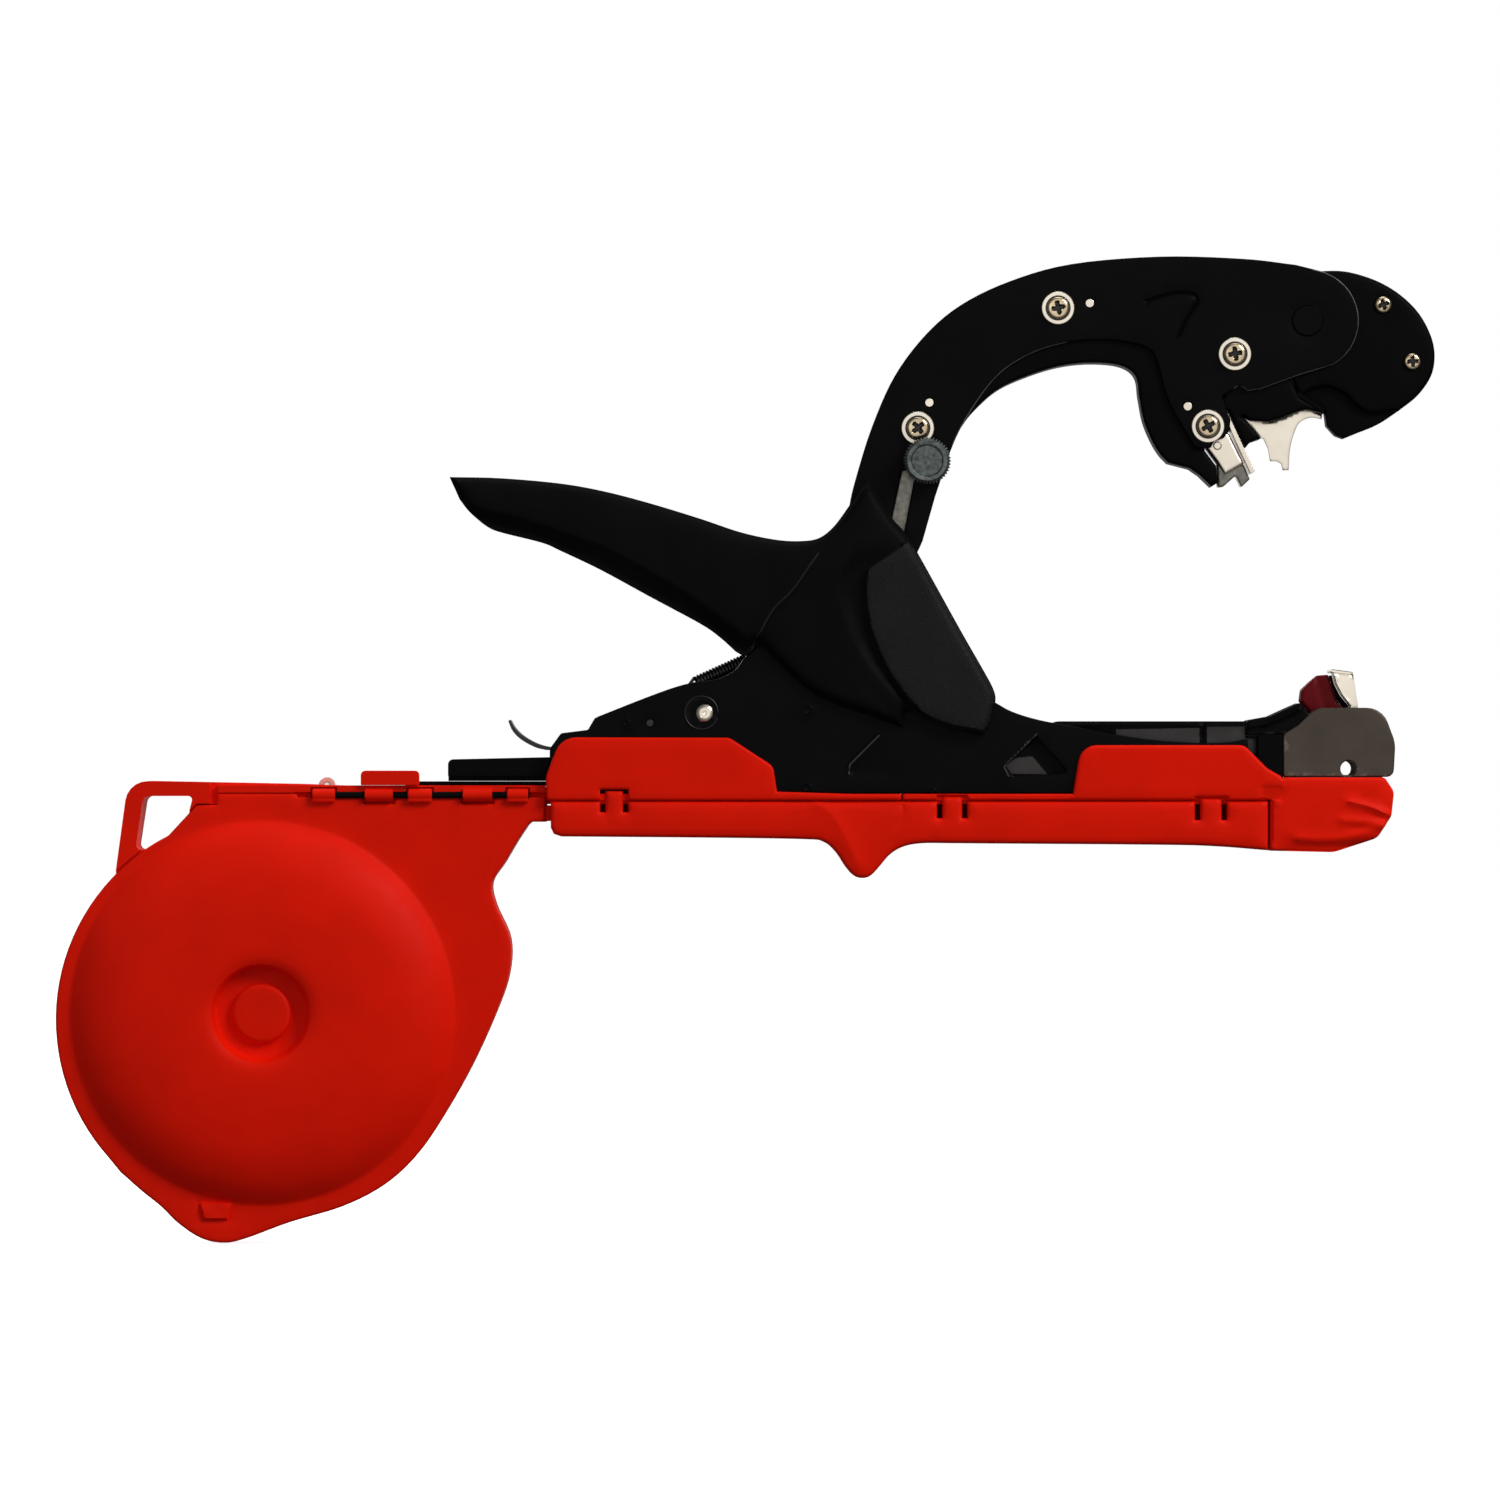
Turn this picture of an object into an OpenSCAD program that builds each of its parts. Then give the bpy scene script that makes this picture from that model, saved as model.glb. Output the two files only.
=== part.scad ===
// Hand tapener: a plier-like tool that wraps tape round a plant stem, staples it and cuts it.
// X runs from the tape cassette to the nose, Z is up, -Y is the side that carries the cassette door.
// The origin is the main pivot of the jaw arm, on the mid-plane.

/* [Frame] */
// Width across the two frame side plates
frame_w = 19; // [18:0.5:20]
// Thickness of a frame side plate
plate_t = 1.5; // [1:0.1:1.8]
// Radius of the main pivot pin
pivot_r = 2.4; // [2:0.1:3]
// Radius of the lever's pivot pin
lever_pin_r = 2; // [1.5:0.1:2.5]
// Radius of the through-hole in the nose plate
nose_hole_r = 2.1; // [1.5:0.1:2.5]

/* [Jaw arm] */
// Width across the two arm side plates
arm_w = 15; // [13:0.5:15.5]
// Thickness of an arm side plate
arm_plate_t = 1.4; // [1:0.1:1.8]
// Radius of the washers on the arm
washer_r = 4.4; // [4:0.1:5]
// Radius of the knurled knob
knob_r = 6.4; // [6:0.1:6.6]

/* [Hand lever] */
// Thickness of the lever's side walls
lever_wall = 3; // [2:0.1:3.5]
// Radius of the roller that presses the arm
press_r = 4; // [3:0.1:4]

/* [Tape and cassette] */
// Width of the tape
tape_w = 11; // [8:0.5:11.5]
// Radius of a full roll of tape
roll_r = 42; // [30:1:44]
// Wall thickness of the red mouldings
wall = 1.6; // [1.2:0.1:2]
// Radius of the cassette body
cassette_r = 55.3; // [54:0.1:56]
// Radius of the door's dome
dome_r = 51.6; // [50:0.1:52]
// Radius of the hub that the roll turns on
hub_r = 7.9; // [7:0.1:8.5]

/* [Hidden] */
$fn = 64;

frame_y = frame_w / 2;                 // outer face of a frame side plate
frame_in = frame_y - plate_t;          // inner face of a frame side plate
arm_y = arm_w / 2;                     // outer face of an arm side plate
core_y = arm_y - arm_plate_t;          // outer face of the arm's core
cover_in = frame_y + 0.1;              // inner face of the red side covers
cover_y = cover_in + 1.5;              // outer face of the red side covers
lever_in = frame_y + 0.8;              // inner face of the hand lever's walls
lever_y = lever_in + lever_wall;       // outer face of the hand lever's walls
panel_y = lever_y + 0.7;               // face of the lever's raised panel
magazine_y = 6.6;                      // outer face of the magazine's walls
magazine_in = 5.3;                     // inner face of the magazine's walls
channel_y = 9.3;                       // inner face of the tape cover's walls
cut = 1;                               // how far a cutting shape runs past what it cuts

// Places of the pivots and fasteners, [x, z]
lever_pivot = [70, 1];
press_at = [32.5, 36];
guard_at = [161.2, 105];
knob_at = [59.3, 67.3];
nose_hole_at = [171.9, -14.9];
clip_roller_at = [-101.8, -19.4];
screw_spots = [[94.4, 108.3], [56.9, 76.2], [141.7, 96], [134.5, 76.7]];
dowel_spots = [[102.9, 109.6], [60, 83], [129.1, 82]];
guard_screw_spots = [[181.5, 109.3], [189.3, 94.1]];
spacer_spots = [[-14.7, -2.7], [60.7, 3]];
spring_post_at = [-6.3, 6.2];
ring_at = [-0.9, 0.1];                 // centre of the eccentric ring round the main pivot
barrel_r = 5.5;                        // the arm's barrel round the main pivot

// Cassette and its door
roll_at = [-118.4, -80.2];
cassette_at = [-118.4, -82];            // centre of the cassette's round outline
cassette_back = 9.2;                   // outer face of the cassette's back wall
cassette_rim = -6;                     // edge of the cassette's rim wall
door_face = -7.7;                      // outer face of the door's flange
door_back = door_face + wall;          // inner face of the door's flange
dome_face = -15.5;                     // highest face of the door's dome
door_axis = [-8, -21.9];               // the door hinge's [y, z]
door_knuckles = [[-105, -98.9], [-79.4, -73], [-52.9, -47.3]];
body_knuckles = [[-90.9, -83.4], [-64.7, -56.9]];
cover_axis = [cover_y + 1.9, -23.4];   // the tape cover hinge's [y, z]
cover_knuckles = [[-20, -10], [84, 94], [130, 140]];
frame_knuckles = [[-32, -20.4], [94.4, 104], [118, 129.6]];
snap_tongues = [[-26.6, -21.9, -20.8], [63.4, 68.7, -22.4], [132.3, 138, -22.9]];  // each [x0, x1, top z]

// Moulded and painted colours
red = [0.8, 0.12, 0.06];
black = [0.08, 0.08, 0.08];
dark = [0.15, 0.15, 0.16];
steel = [0.75, 0.73, 0.68];
warm_grey = [0.42, 0.38, 0.34];
maroon = [0.4, 0.02, 0.08];

// ---- shared shapes ----

// A smooth curve through the points p, with n steps between neighbours
function smooth(p, n = 5) = [
    for (i = [0 : len(p) - 2], j = [0 : n - 1]) between(p, i, j / n),
    p[len(p) - 1]
];
function between(p, i, t) =
    let (b = p[i], c = p[i + 1])
    let (a = i > 0 ? p[i - 1] : 2 * b - c, d = i + 2 < len(p) ? p[i + 2] : 2 * c - b)
    0.5 * (2 * b + (c - a) * t + (2 * a - 5 * b + 4 * c - d) * t * t
        + (3 * b - a - 3 * c + d) * t * t * t);

// An arc about c from angle a to angle b, with n steps
function arc(c, r, a, b, n = 12) = [
    for (i = [0 : n]) c + r * [cos(a + (b - a) * i / n), sin(a + (b - a) * i / n)]
];

// A closed outline from corners [x, z, radius], each rounded to its radius
function rounded(p) = [
    for (i = [0 : len(p) - 1])
        each corner(p[(i + len(p) - 1) % len(p)], p[i], p[(i + 1) % len(p)])
];
function flat(v) = [v[0], v[1]];
function unit(v) = v / norm(v);
function corner(a, b, c, n = 5) =
    b[2] <= 0 ? [flat(b)] :
    let (u = unit(flat(a) - flat(b)), v = unit(flat(c) - flat(b)))
    let (half = acos(max(-1, min(1, u * v))) / 2)
    let (mid = flat(b) + unit(u + v) * b[2] / sin(half))
    let (p = flat(b) + u * b[2] / tan(half) - mid, q = flat(b) + v * b[2] / tan(half) - mid)
    let (start = atan2(p[1], p[0]), turn = atan2(p[0] * q[1] - p[1] * q[0], p * q))
    [for (k = [0 : n]) mid + b[2] * [cos(start + turn * k / n), sin(start + turn * k / n)]];

// An outline in X and Z, made solid from y0 to y1
module slab(outline, y0, y1) {
    translate([0, y1, 0]) rotate([90, 0, 0]) linear_extrude(y1 - y0) polygon(outline);
}

// The same slab on both sides of the mid-plane
module both_sides(outline, y0, y1) {
    slab(outline, y0, y1);
    slab(outline, -y1, -y0);
}

// A round bar along Y
module bar(at, r, y0, y1) {
    translate([at[0], y1, at[1]]) rotate([90, 0, 0]) cylinder(r = r, h = y1 - y0);
}

// A round bar along X, through [y, z]
module rod(at, r, x0, x1) {
    translate([x0, at[0], at[1]]) rotate([0, 90, 0]) cylinder(r = r, h = x1 - x0);
}

// A box from one corner to the other
module box(low, high) {
    translate(low) cube(high - low);
}

// A profile [r, y] turned about a Y axis through at
module turned(profile, at) {
    translate([at[0], 0, at[1]]) rotate([90, 0, 0]) mirror([0, 0, 1]) rotate_extrude($fn = 128)
        polygon(profile);
}

// ---- frame ----

plate_outline = concat(
    rounded([[-41.5, -21.55, 0], [-41.5, -9.5, 3], [-38.5, -5.4, 1], [-31.3, -4.5, 1], [-29.5, -1.4, 0]]),
    smooth([[-28.5, -0.9], [-17.4, 3.5], [-9, 6.6], [-3, 8.2], [3, 9], [8, 11.5], [10.8, 15], [16, 18.6],
        [25, 19.4], [36, 18.6], [50, 14.6], [64, 9], [76.2, 3.5], [82, 0.4], [89.5, -1.9], [100.2, -3.9],
        [111, -6], [121.6, -7.4], [132.3, -8], [140, -7.8], [145.1, -6.9]]),
    [[145.1, -21.55]]
);
window_outline = rounded([[88.5, -6.2, 0.8], [80.2, -14, 0.8], [82.5, -17, 0.8], [97.5, -16, 0.8]]);

module side_plate(side) {
    color(black) difference() {
        union() {
            slab(plate_outline, side * (frame_in + frame_y) / 2 - plate_t / 2,
                side * (frame_in + frame_y) / 2 + plate_t / 2);
        }
        bar([0, 0], pivot_r, -frame_w, frame_w);
        bar(lever_pivot, lever_pin_r, -frame_w, frame_w);
        slab(window_outline, -frame_w, frame_w);
        for (s = spacer_spots) bar(s, 1, -frame_w, frame_w);
    }
}

module side_plate_near() {
    side_plate(-1);
}

module side_plate_far() {
    side_plate(1);
}

module plate_spacers() {
    color(steel) for (s = spacer_spots) {
        bar(s, 1.8, -frame_in, frame_in);
        bar(s, 1, -frame_y - 0.2, frame_y + 0.2);
    }
    color(steel) bar(spring_post_at, 1.1, -frame_in, frame_in);
}

module main_pivot_pin() {
    color(steel) bar([0, 0], pivot_r, -frame_y - 0.55, frame_y + 0.55);
}

module pivot_rings() {
    color(steel) for (side = [-1, 1]) difference() {
        bar(ring_at, 4.6, side * (frame_y + 0.2) - 0.2, side * (frame_y + 0.2) + 0.2);
        bar([0, 0], pivot_r, -frame_w, frame_w);
    }
}

module lever_pivot_pin() {
    color(steel) bar(lever_pivot, lever_pin_r, -frame_y - 2.6, frame_y + 2.6);
}

module magazine() {
    side = rounded([[-41, -20.6, 0], [-41, -10, 0], [82, -10, 4], [94, -2.2, 3], [144.6, -2.2, 0],
        [144.6, -6.2, 0], [147.6, -6.2, 0], [147.6, -20.6, 0]]);
    color(warm_grey) {
        difference() {
            slab(side, -magazine_y, magazine_y);
            box([-42, -magazine_in, -19.4], [149, magazine_in, 5]);
        }
        difference() {
            box([98, -magazine_in, -3.2], [144.6, magazine_in, -2.2]);
            box([132.8, -cut - magazine_in, -4], [134, 0, -1]);
        }
        box([-80.4, -3.3, -19.5], [-41, 3.3, -18.3]);
    }
}

module staple_stick() {
    color(steel) difference() {
        box([98, -3, -19.3], [146, 3, -14.3]);
        box([97, -2.4, -18.7], [147, 2.4, -14]);
    }
}

module driver_block() {
    color(black) difference() {
        box([147.8, -frame_y, -21.5], [154.4, frame_y, -5.9]);
        box([149.4, -3.4, -22], [152.6, 3.4, -5]);
    }
}

module gripper_block() {
    tongue = [[170.6, -1], [172.7, -1], [172.7, 1.8], [170.3, 4.7], [168.7, 7.8], [168.1, 10.2], [165, 9.4],
        [164.5, 2.5], [170.6, 2.5]];
    color(black) {
        box([162, -frame_y + 1.3, -8], [178, frame_y - 1.3, 0]);
        both_sides(tongue, 0.85, 1.3);
    }
}

module driver_blade() {
    color(steel) difference() {
        box([150.5, -3.3, -21.5], [151.5, 3.3, -9]);
        bar([151, -14], 0.8, -4, 4);
    }
}

module nose_plate() {
    side = rounded([[154.5, -17.1, 0], [154.5, -5.6, 1.5], [158.4, -3.2, 2], [163.2, 1.4, 5], [181, 1.4, 6],
        [184.5, -8, 9], [184, -17.1, 2]]);
    color(warm_grey) difference() {
        union() {
            both_sides(side, frame_y - 1.3, frame_y);
            box([182.6, -frame_y, -13.5], [183.9, frame_y, -7]);
        }
        bar(nose_hole_at, nose_hole_r, -frame_w, frame_w);
    }
}

module gripper_arm() {
    side = rounded([[144.9, -5.84, 0.3], [144.9, -2, 0.6], [151, -0.9, 1], [156, 1.4, 1.5],
        [159.2, 2.8, 0.6],
        [161.6, -0.6, 0.6], [157.6, -5.84, 0.5]]);
    color(black) {
        both_sides(side, 3.7, 8);
        box([156.2, -3.7, -4.4], [158.8, 3.7, -0.4]);
    }
}

module tape_gripper() {
    side = rounded([[159.4, 3.2, 0.5], [159.8, 6.2, 1], [162, 8.3, 0.6], [164.2, 10.1, 1], [167, 10.3, 0.5],
        [169.2, 3.6, 0.5], [171, 1.6, 0.5], [171, 0, 0], [162, 0, 0]]);
    color(maroon) {
        both_sides(side, 1.4, 3.6);
        box([162.5, -1.4, 0], [170.5, 1.4, 2.4]);
    }
}

module tape_clip() {
    hood = rounded([[167.3, 10.8, 0], [167.5, 11.8, 0.3], [173.4, 11, 0.3], [174.8, 1.8, 0.3],
        [173, 1.9, 0],
        [170.6, 4.9, 1], [169, 8, 1], [168.4, 10.7, 0]]);
    color(steel) {
        both_sides(hood, 1.4, 5.6);
        slab([[172.8, 0], [174.8, 0], [174.8, 1.9], [172.8, 1.9]], -5.6, 5.6);
    }
}

module hook_spring() {
    strip = concat(
        smooth([[-34, -9.2], [-41, -9.1], [-45, -8.1], [-48.6, -6.1], [-50.8, -4], [-52.2, -1.7]]),
        smooth([[-52.7, -2.1], [-51.5, -4.8], [-49.2, -7.1], [-45.6, -9.1], [-42.6, -9.9]]),
        [[-38, -9.98], [-34, -9.98]]
    );
    color(dark) slab(strip, -6.4, 6.4);
}

// The spring between the frame's rear and the heel of the arm, as its outer shape
spring_low = [-2.2, 8];
spring_high = [10.2, 13.6];
spring_tail = [-5.2, 6.7];
spring_nose = [12.3, 14.4];
module strut(a, b, r) {
    run = b - a;
    translate([a[0], 0, a[1]]) rotate([0, 90 - atan2(run[1], run[0]), 0]) cylinder(r = r, h = norm(run));
}
module return_spring() {
    color(dark) {
        strut(spring_low, spring_high, 2.15);
        strut(spring_tail, spring_low, 0.4);
        strut(spring_high, spring_nose, 0.4);
    }
}

// ---- red covers ----

// The notch in a side cover that a snap tongue of the tape cover rises into
module snap_notch(tongue) {
    box([tongue[0] - 1.4, -cover_y - cut, -30], [tongue[1] + 1.4, -cover_in + 0.05, tongue[2] + 0.4]);
}

module hinge_barrels(spans, axis) {
    for (s = spans) rod(axis, 1.7, s[0], s[1]);
}

module rear_cover() {
    flap = rounded([[-42.3, -23.3, 0], [-42.5, -17, 5], [-38.5, -6.5, 6], [6.5, -6.6, 3], [18.2, -14.2, 3],
        [19.6, -23.3, 0]]);
    strip = [[-42, -23.3], [-42, -21.6], [52.4, -21.6], [52.4, -23.3]];
    edge = [[19, -23.3], [19, -21], [52.4, -22], [52.4, -23.3]];
    lip = [[-41.5, -24.3], [-41.5, -23], [52.4, -23], [52.4, -24.3]];
    color(red) {
        difference() {
            union() {
                both_sides(flap, cover_in, cover_y);
                slab(strip, -cover_y, cover_y);
                both_sides(edge, cover_in, cover_y);
                both_sides(lip, 8.4, 9);
            }
            snap_notch(snap_tongues[0]);
        }
        difference() {
            union() {
                hinge_barrels([frame_knuckles[0]], cover_axis);
                box([frame_knuckles[0][0], cover_y - 0.2, -23.2],
                    [frame_knuckles[0][1], cover_axis[0], -21.9]);
            }
            rod(cover_axis, 0.85, -50, 60);
        }
    }
}

module front_cover() {
    flap = rounded([[98, -23.3, 0], [100.4, -8.6, 5], [144, -8.6, 3], [150.2, -14.8, 3], [154.4, -17.2, 2],
        [154.6, -23.3, 0]]);
    strip = [[52.8, -23.3], [52.8, -21.6], [154.6, -21.6], [154.6, -23.3]];
    lip = [[52.8, -24.3], [52.8, -23], [149.9, -23], [149.9, -24.3]];
    nose = rounded([[151, -23.2, 0], [154.5, -17.2, 0], [181.6, -17.2, 1.5], [184.1, -21, 3],
        [183.4, -27.5, 3], [179.6, -33.4, 4], [168, -37.2, 8], [151, -36.8, 0]]);
    color(red) {
        difference() {
            union() {
                both_sides(flap, cover_in, cover_y);
                slab(strip, -cover_y, cover_y);
                both_sides(lip, 8.4, 9);
                slab(nose, -cover_y, cover_y);
            }
            box([150, -channel_y, -35], [155.5, channel_y, -24.8]);
            box([155.4, -channel_y, -34], [180, channel_y, -16]);
            box([147, -frame_y, -21.7], [154.5, frame_y, -15]);
            box([149.4, -3.4, -25], [152.6, 3.4, -20]);
            for (k = [1, 2]) snap_notch(snap_tongues[k]);
        }
        difference() {
            union() {
                hinge_barrels([frame_knuckles[1], frame_knuckles[2]], cover_axis);
                for (k = [1, 2]) box([frame_knuckles[k][0], cover_y - 0.2, -23.2],
                    [frame_knuckles[k][1], cover_axis[0], -21.9]);
            }
            rod(cover_axis, 0.85, 60, 160);
        }
    }
}

module cover_hinge_pin() {
    color(steel) rod(cover_axis, 0.85, -32.5, 140.5);
}

cover_bottom = concat(
    smooth([[-38.4, -33], [0, -33.3], [26, -33.7], [31.6, -34.4], [35, -37.3], [37.6, -41.2], [39.8, -43.5],
        [42, -44.1], [44.2, -43.5], [46.6, -41], [49.4, -37.8], [53, -35.7], [58, -34.8], [66, -34.8]]),
    smooth([[66, -34.8], [120, -35.2], [136, -35.6], [150.4, -36.7]], 4)
);

module tape_cover() {
    outer = concat([[150.4, -23.6], [-41.2, -23.6], [-41.2, -30.6], [-40.4, -32.3]], cover_bottom);
    inner = concat([[156, -20], [-50, -20], [-50, -31.2]],
        smooth([[27, -32], [32.8, -33], [36.4, -36.4], [39, -40.4], [42, -42.2], [45, -40.4], [48, -36.6],
            [52, -34.2], [58, -33.1]], 4), [[120, -33.5], [156, -34.8]]);
    color(red) difference() {
        union() {
            slab(outer, -cover_y, cover_y);
            for (s = snap_tongues) box([s[0], -cover_y, -24], [s[1], -cover_in, s[2]]);
            hinge_barrels(cover_knuckles, cover_axis);
            for (s = cover_knuckles) box([s[0], cover_y - cut, cover_axis[1] - 1.7],
                [s[1], cover_axis[0], cover_axis[1] - 0.4]);
        }
        slab(inner, -channel_y, channel_y);
        rod(cover_axis, 0.93, -60, 160);
        for (s = snap_tongues, x = [s[0] - 1.4, s[1]])
            box([x, -cover_y - cut, s[2] - 5.7], [x + 1.4, -channel_y + 0.1, -23]);
    }
}

// ---- cassette ----

cassette_outline = concat(
    arc(cassette_at, cassette_r, 137, 222, 26),
    smooth([[-156.4, -122.8], [-150.5, -128], [-145.5, -132], [-141, -136.4], [-135, -140.4],
        [-129, -141.7],
        [-123, -140.6], [-111, -136.2], [-97, -132], [-86, -126.4], [-77.5, -118.8], [-70.4, -108.6],
        [-62.6, -94.9], [-56, -80.4], [-52.5, -70], [-52.2, -60.5], [-56, -51.5], [-57, -45.5],
        [-53.6, -40], [-50.3, -34.4], [-47.4, -30]]),
    [[-46.4, -29.1], [-42.6, -29.1], [-42.6, -19.8], [-92, -19.6]],
    rounded([[-108, -19, 0], [-154.3, -18.1, 6], [-157.7, -43, 0]])
);
loop_pad = concat([[-132.4, -10], [-170, -10], [-170, -50]],
    arc(cassette_at, cassette_r + 0.4, 138, 117.5, 10),
    [[-136.6, -24.8], [-136, -24.2], [-132.4, -24.2]]);
loop_hole = rounded([[-150.2, -22.2, 2], [-136.9, -22.2, 1], [-139, -30.2, 2], [-152.6, -38, 1.5]]);
rim_inside = concat(
    arc(cassette_at, cassette_r - wall, 108, 222, 34),
    smooth([[-155, -121.4], [-149, -127], [-143.6, -131.6], [-139.6, -135.4], [-134.6, -138.6],
        [-129, -139.9], [-123.6, -138.9], [-111.6, -134.6], [-98, -130.4], [-87.2, -124.9],
        [-79, -117.6], [-72.2, -107.9], [-64.4, -94.1], [-57.9, -79.8], [-54.4, -69.7],
        [-54.1, -61], [-57.8, -52], [-58.9, -45.6], [-55.6, -39.4], [-51.8, -33.4], [-48.4, -28]]),
    [[-47.6, -27.3], [-40, -27.3], [-40, -24.4], [-136, -24.4]]
);

module cassette_body() {
    color(red) difference() {
        union() {
            difference() {
                slab(cassette_outline, cassette_rim, cassette_back);
                slab(rim_inside, -40, cassette_back - wall);
                box([-44, -channel_y, -27.3], [-40, cassette_back - wall, -24.4]);
            }
            box([-130.2, door_face, -21.3], [-42.6, cassette_rim, -19.35]);
            intersection() {
                slab(cassette_outline, door_face, cassette_rim);
                slab(loop_pad, -20, 0);
            }
            bar(roll_at, hub_r, -6, cassette_back);
            box([-43, 8.2, -28.9], [-38, 9, -24.8]);
            box([-42.7, -6.9, -28.9], [-38, -5.5, -24.8]);
            difference() {
                hinge_barrels(body_knuckles, door_axis);
                box([-120, cassette_rim + 0.2, -30], [-40, 10, -10]);
            }
            for (s = body_knuckles) box([s[0], -8, -21.4], [s[1], cassette_rim + 0.1, -20.2]);
        }
        slab(loop_hole, -40, 40);
        bar(roll_at, hub_r - 2, -30, cassette_back - wall);
        rod(door_axis, 0.85, -110, -44);
        for (s = door_knuckles) box([s[0] - 0.5, -20, -24.4], [s[1] + 0.5, cassette_rim + 0.4, -19.85]);
        box([-104.6, 3.6, -24.5], [-99, cassette_back - wall, -15]);
    }
}

module door_hinge_pin() {
    color(steel) rod(door_axis, 0.85, -105.4, -46.9);
}

module door_tab() {
    tab = rounded([[-92, -19.3, 0], [-92, -15.4, 1.2], [-76.4, -15.4, 1.2], [-76.4, -19.3, 0]]);
    color(red) slab(tab, -9.2, -6.5);
}

module roller_pin() {
    color(steel) bar(clip_roller_at, 0.8, 3.6, cassette_back - wall);
}

module tension_roller() {
    color([0.93, 0.8, 0.78, 0.8]) difference() {
        bar(clip_roller_at, 2.2, 3.9, cassette_back - wall - 0.3);
        bar(clip_roller_at, 0.87, 0, 20);
    }
}

// The door's flange follows the cassette below the hinge
door_outline = concat(
    arc(cassette_at, cassette_r, 117, 222, 32),
    smooth([[-156.4, -122.8], [-150.5, -128], [-145.5, -132], [-141, -136.4], [-135, -140.4],
        [-129, -141.7],
        [-123, -140.6], [-111, -136.2], [-97, -132], [-86, -126.4], [-77.5, -118.8], [-70.4, -108.6],
        [-62.6, -94.9], [-56, -80.4], [-52.5, -70], [-52.2, -60.5], [-56, -51.5], [-57, -45.5],
        [-53.6, -40], [-50.3, -34.4], [-47.4, -30]]),
    [[-46.4, -29.1], [-42.8, -29.1], [-42.8, -22.5], [-109, -22.5], [-109, -21.5], [-130.4, -21.5],
        [-130.6, -24.6], [-136, -24.6]]
);

// The dome's outer and inner profiles, [radius, y]
shoulder_r = 43.5;
dish_r = 13.7;
dome_profile = concat(
    [[0, -11.6], [hub_r, -11.6], [hub_r, -9.6], [11.8, -9.6]],
    smooth([[11.8, -9.6], [12.6, -12.2], [dish_r, -14.2], [17, dome_face], [30, -15.3], [38, -14.4],
        [shoulder_r, -12.8], [48.6, -10.2], [dome_r, door_face]], 4),
    [[dome_r, door_back]],
    smooth([[48.4, -7.2], [46.6, -9.8], [42.6, -11.6], [37.5, -12.9], [30, -13.7], [18.8, -13.9],
        [16.4, -13.2], [15.6, -12], [14, -8]], 4),
    [[0, -8]]
);

module cassette_door() {
    color(red) difference() {
        union() {
            difference() {
                slab(door_outline, door_face, door_back);
                bar(roll_at, dome_r - 1, -20, 0);
                for (s = body_knuckles) box([s[0] - 0.4, -20, -24.3], [s[1] + 0.4, 0, -20]);
            }
            intersection() {
                turned(dome_profile, roll_at);
                slab(concat(door_outline), -20, 20);
            }
            hinge_barrels(door_knuckles, door_axis);
            for (s = door_knuckles) box([s[0], door_axis[0] - 1.5, -23.9], [s[1], door_axis[0] + 0.6, -22]);
            slab(rounded([[-135.6, -130.6, 0.5], [-126, -130.6, 0.5], [-127.6, -135.6, 1],
                [-134, -135.6, 1]]),
                door_face - 1.4, door_back);
        }
        rod(door_axis, 0.93, -120, -40);
    }
}

module roll_core() {
    color([0.75, 0.6, 0.4]) difference() {
        bar(roll_at, 12.4, -tape_w / 2, tape_w / 2);
        bar(roll_at, hub_r + 0.08, -20, 20);
    }
}

module tape_roll() {
    color([0.3, 0.6, 0.3]) difference() {
        bar(roll_at, roll_r, -tape_w / 2, tape_w / 2);
        bar(roll_at, 12.4, -20, 20);
    }
}

// ---- jaw arm ----

arm_back = smooth([[38.4, 40], [38.2, 47], [38.8, 56], [41, 65], [45, 77.5], [50.8, 90.3], [59, 101.2],
    [68.5, 109.2], [81.5, 115.5], [98, 120.1], [121.6, 122.1], [144, 121.5], [158, 119.9]]);
arm_heel = [[4, 4.4], [10, 7.6], [12.9, 12.6], [12.9, 14.7], [9.3, 16.6], [8.9, 18.8], [12.8, 20.4],
    [12.8, 22.4], [14.8, 25], [21.8, 29.3], [28, 31], [32.5, 31.6], [38.4, 31.9]];
arm_under = smooth([[58.2, 46], [56.8, 43], [52.5, 35], [45, 24.6], [34, 11.5], [20, 3.4], [5, -3.4]]);

module arm_plate(side) {
    head_right = arc(guard_at, 13.7, 78, -60, 16);
    inner = smooth([[130.4, 72], [127.8, 76.3], [125, 81.2], [122.8, 86.6], [121.4, 92.2], [119.4, 96.8],
        [114.4, 98.9], [105, 99.9], [96.2, 98.9], [87.4, 96.2], [79, 90.9], [72.2, 82.5], [66.6, 72.4],
        [61.6, 58]]);
    outline = concat(arm_heel, arm_back, head_right,
        [[159, 90.4], [148.6, 86.6], [145.2, 86.1], [143, 87.7], [138.4, 84.7], [139.4, 81], [140.6, 78.4],
        [140.2, 75.4], [138.8, 73.6], [136.2, 72.6], [135.2, 70.9], [131.4, 70.8]],
        inner, arm_under);
    color(black) difference() {
        union() {
            slab(outline, side * (core_y + arm_y) / 2 - arm_plate_t / 2,
                side * (core_y + arm_y) / 2 + arm_plate_t / 2);
            bar([0, 0], barrel_r, side * (core_y + arm_y) / 2 - arm_plate_t / 2,
                side * (core_y + arm_y) / 2 + arm_plate_t / 2);
        }
        bar([0, 0], pivot_r + 0.06, -20, 20);
        bar(guard_at, 4, -20, 20);
        for (s = screw_spots) bar(s, 2, -20, 20);
        for (s = dowel_spots) bar(s, 1.15, -20, 20);
        if (side < 0) bar(knob_at, 2.06, -20, 0);
        if (side < 0) slab(rounded([[52.6, 64.8, 1.2], [56.4, 65.2, 1.2], [53, 47, 1],
            [49, 47.6, 1]]), -20, 0);
    }
}

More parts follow.
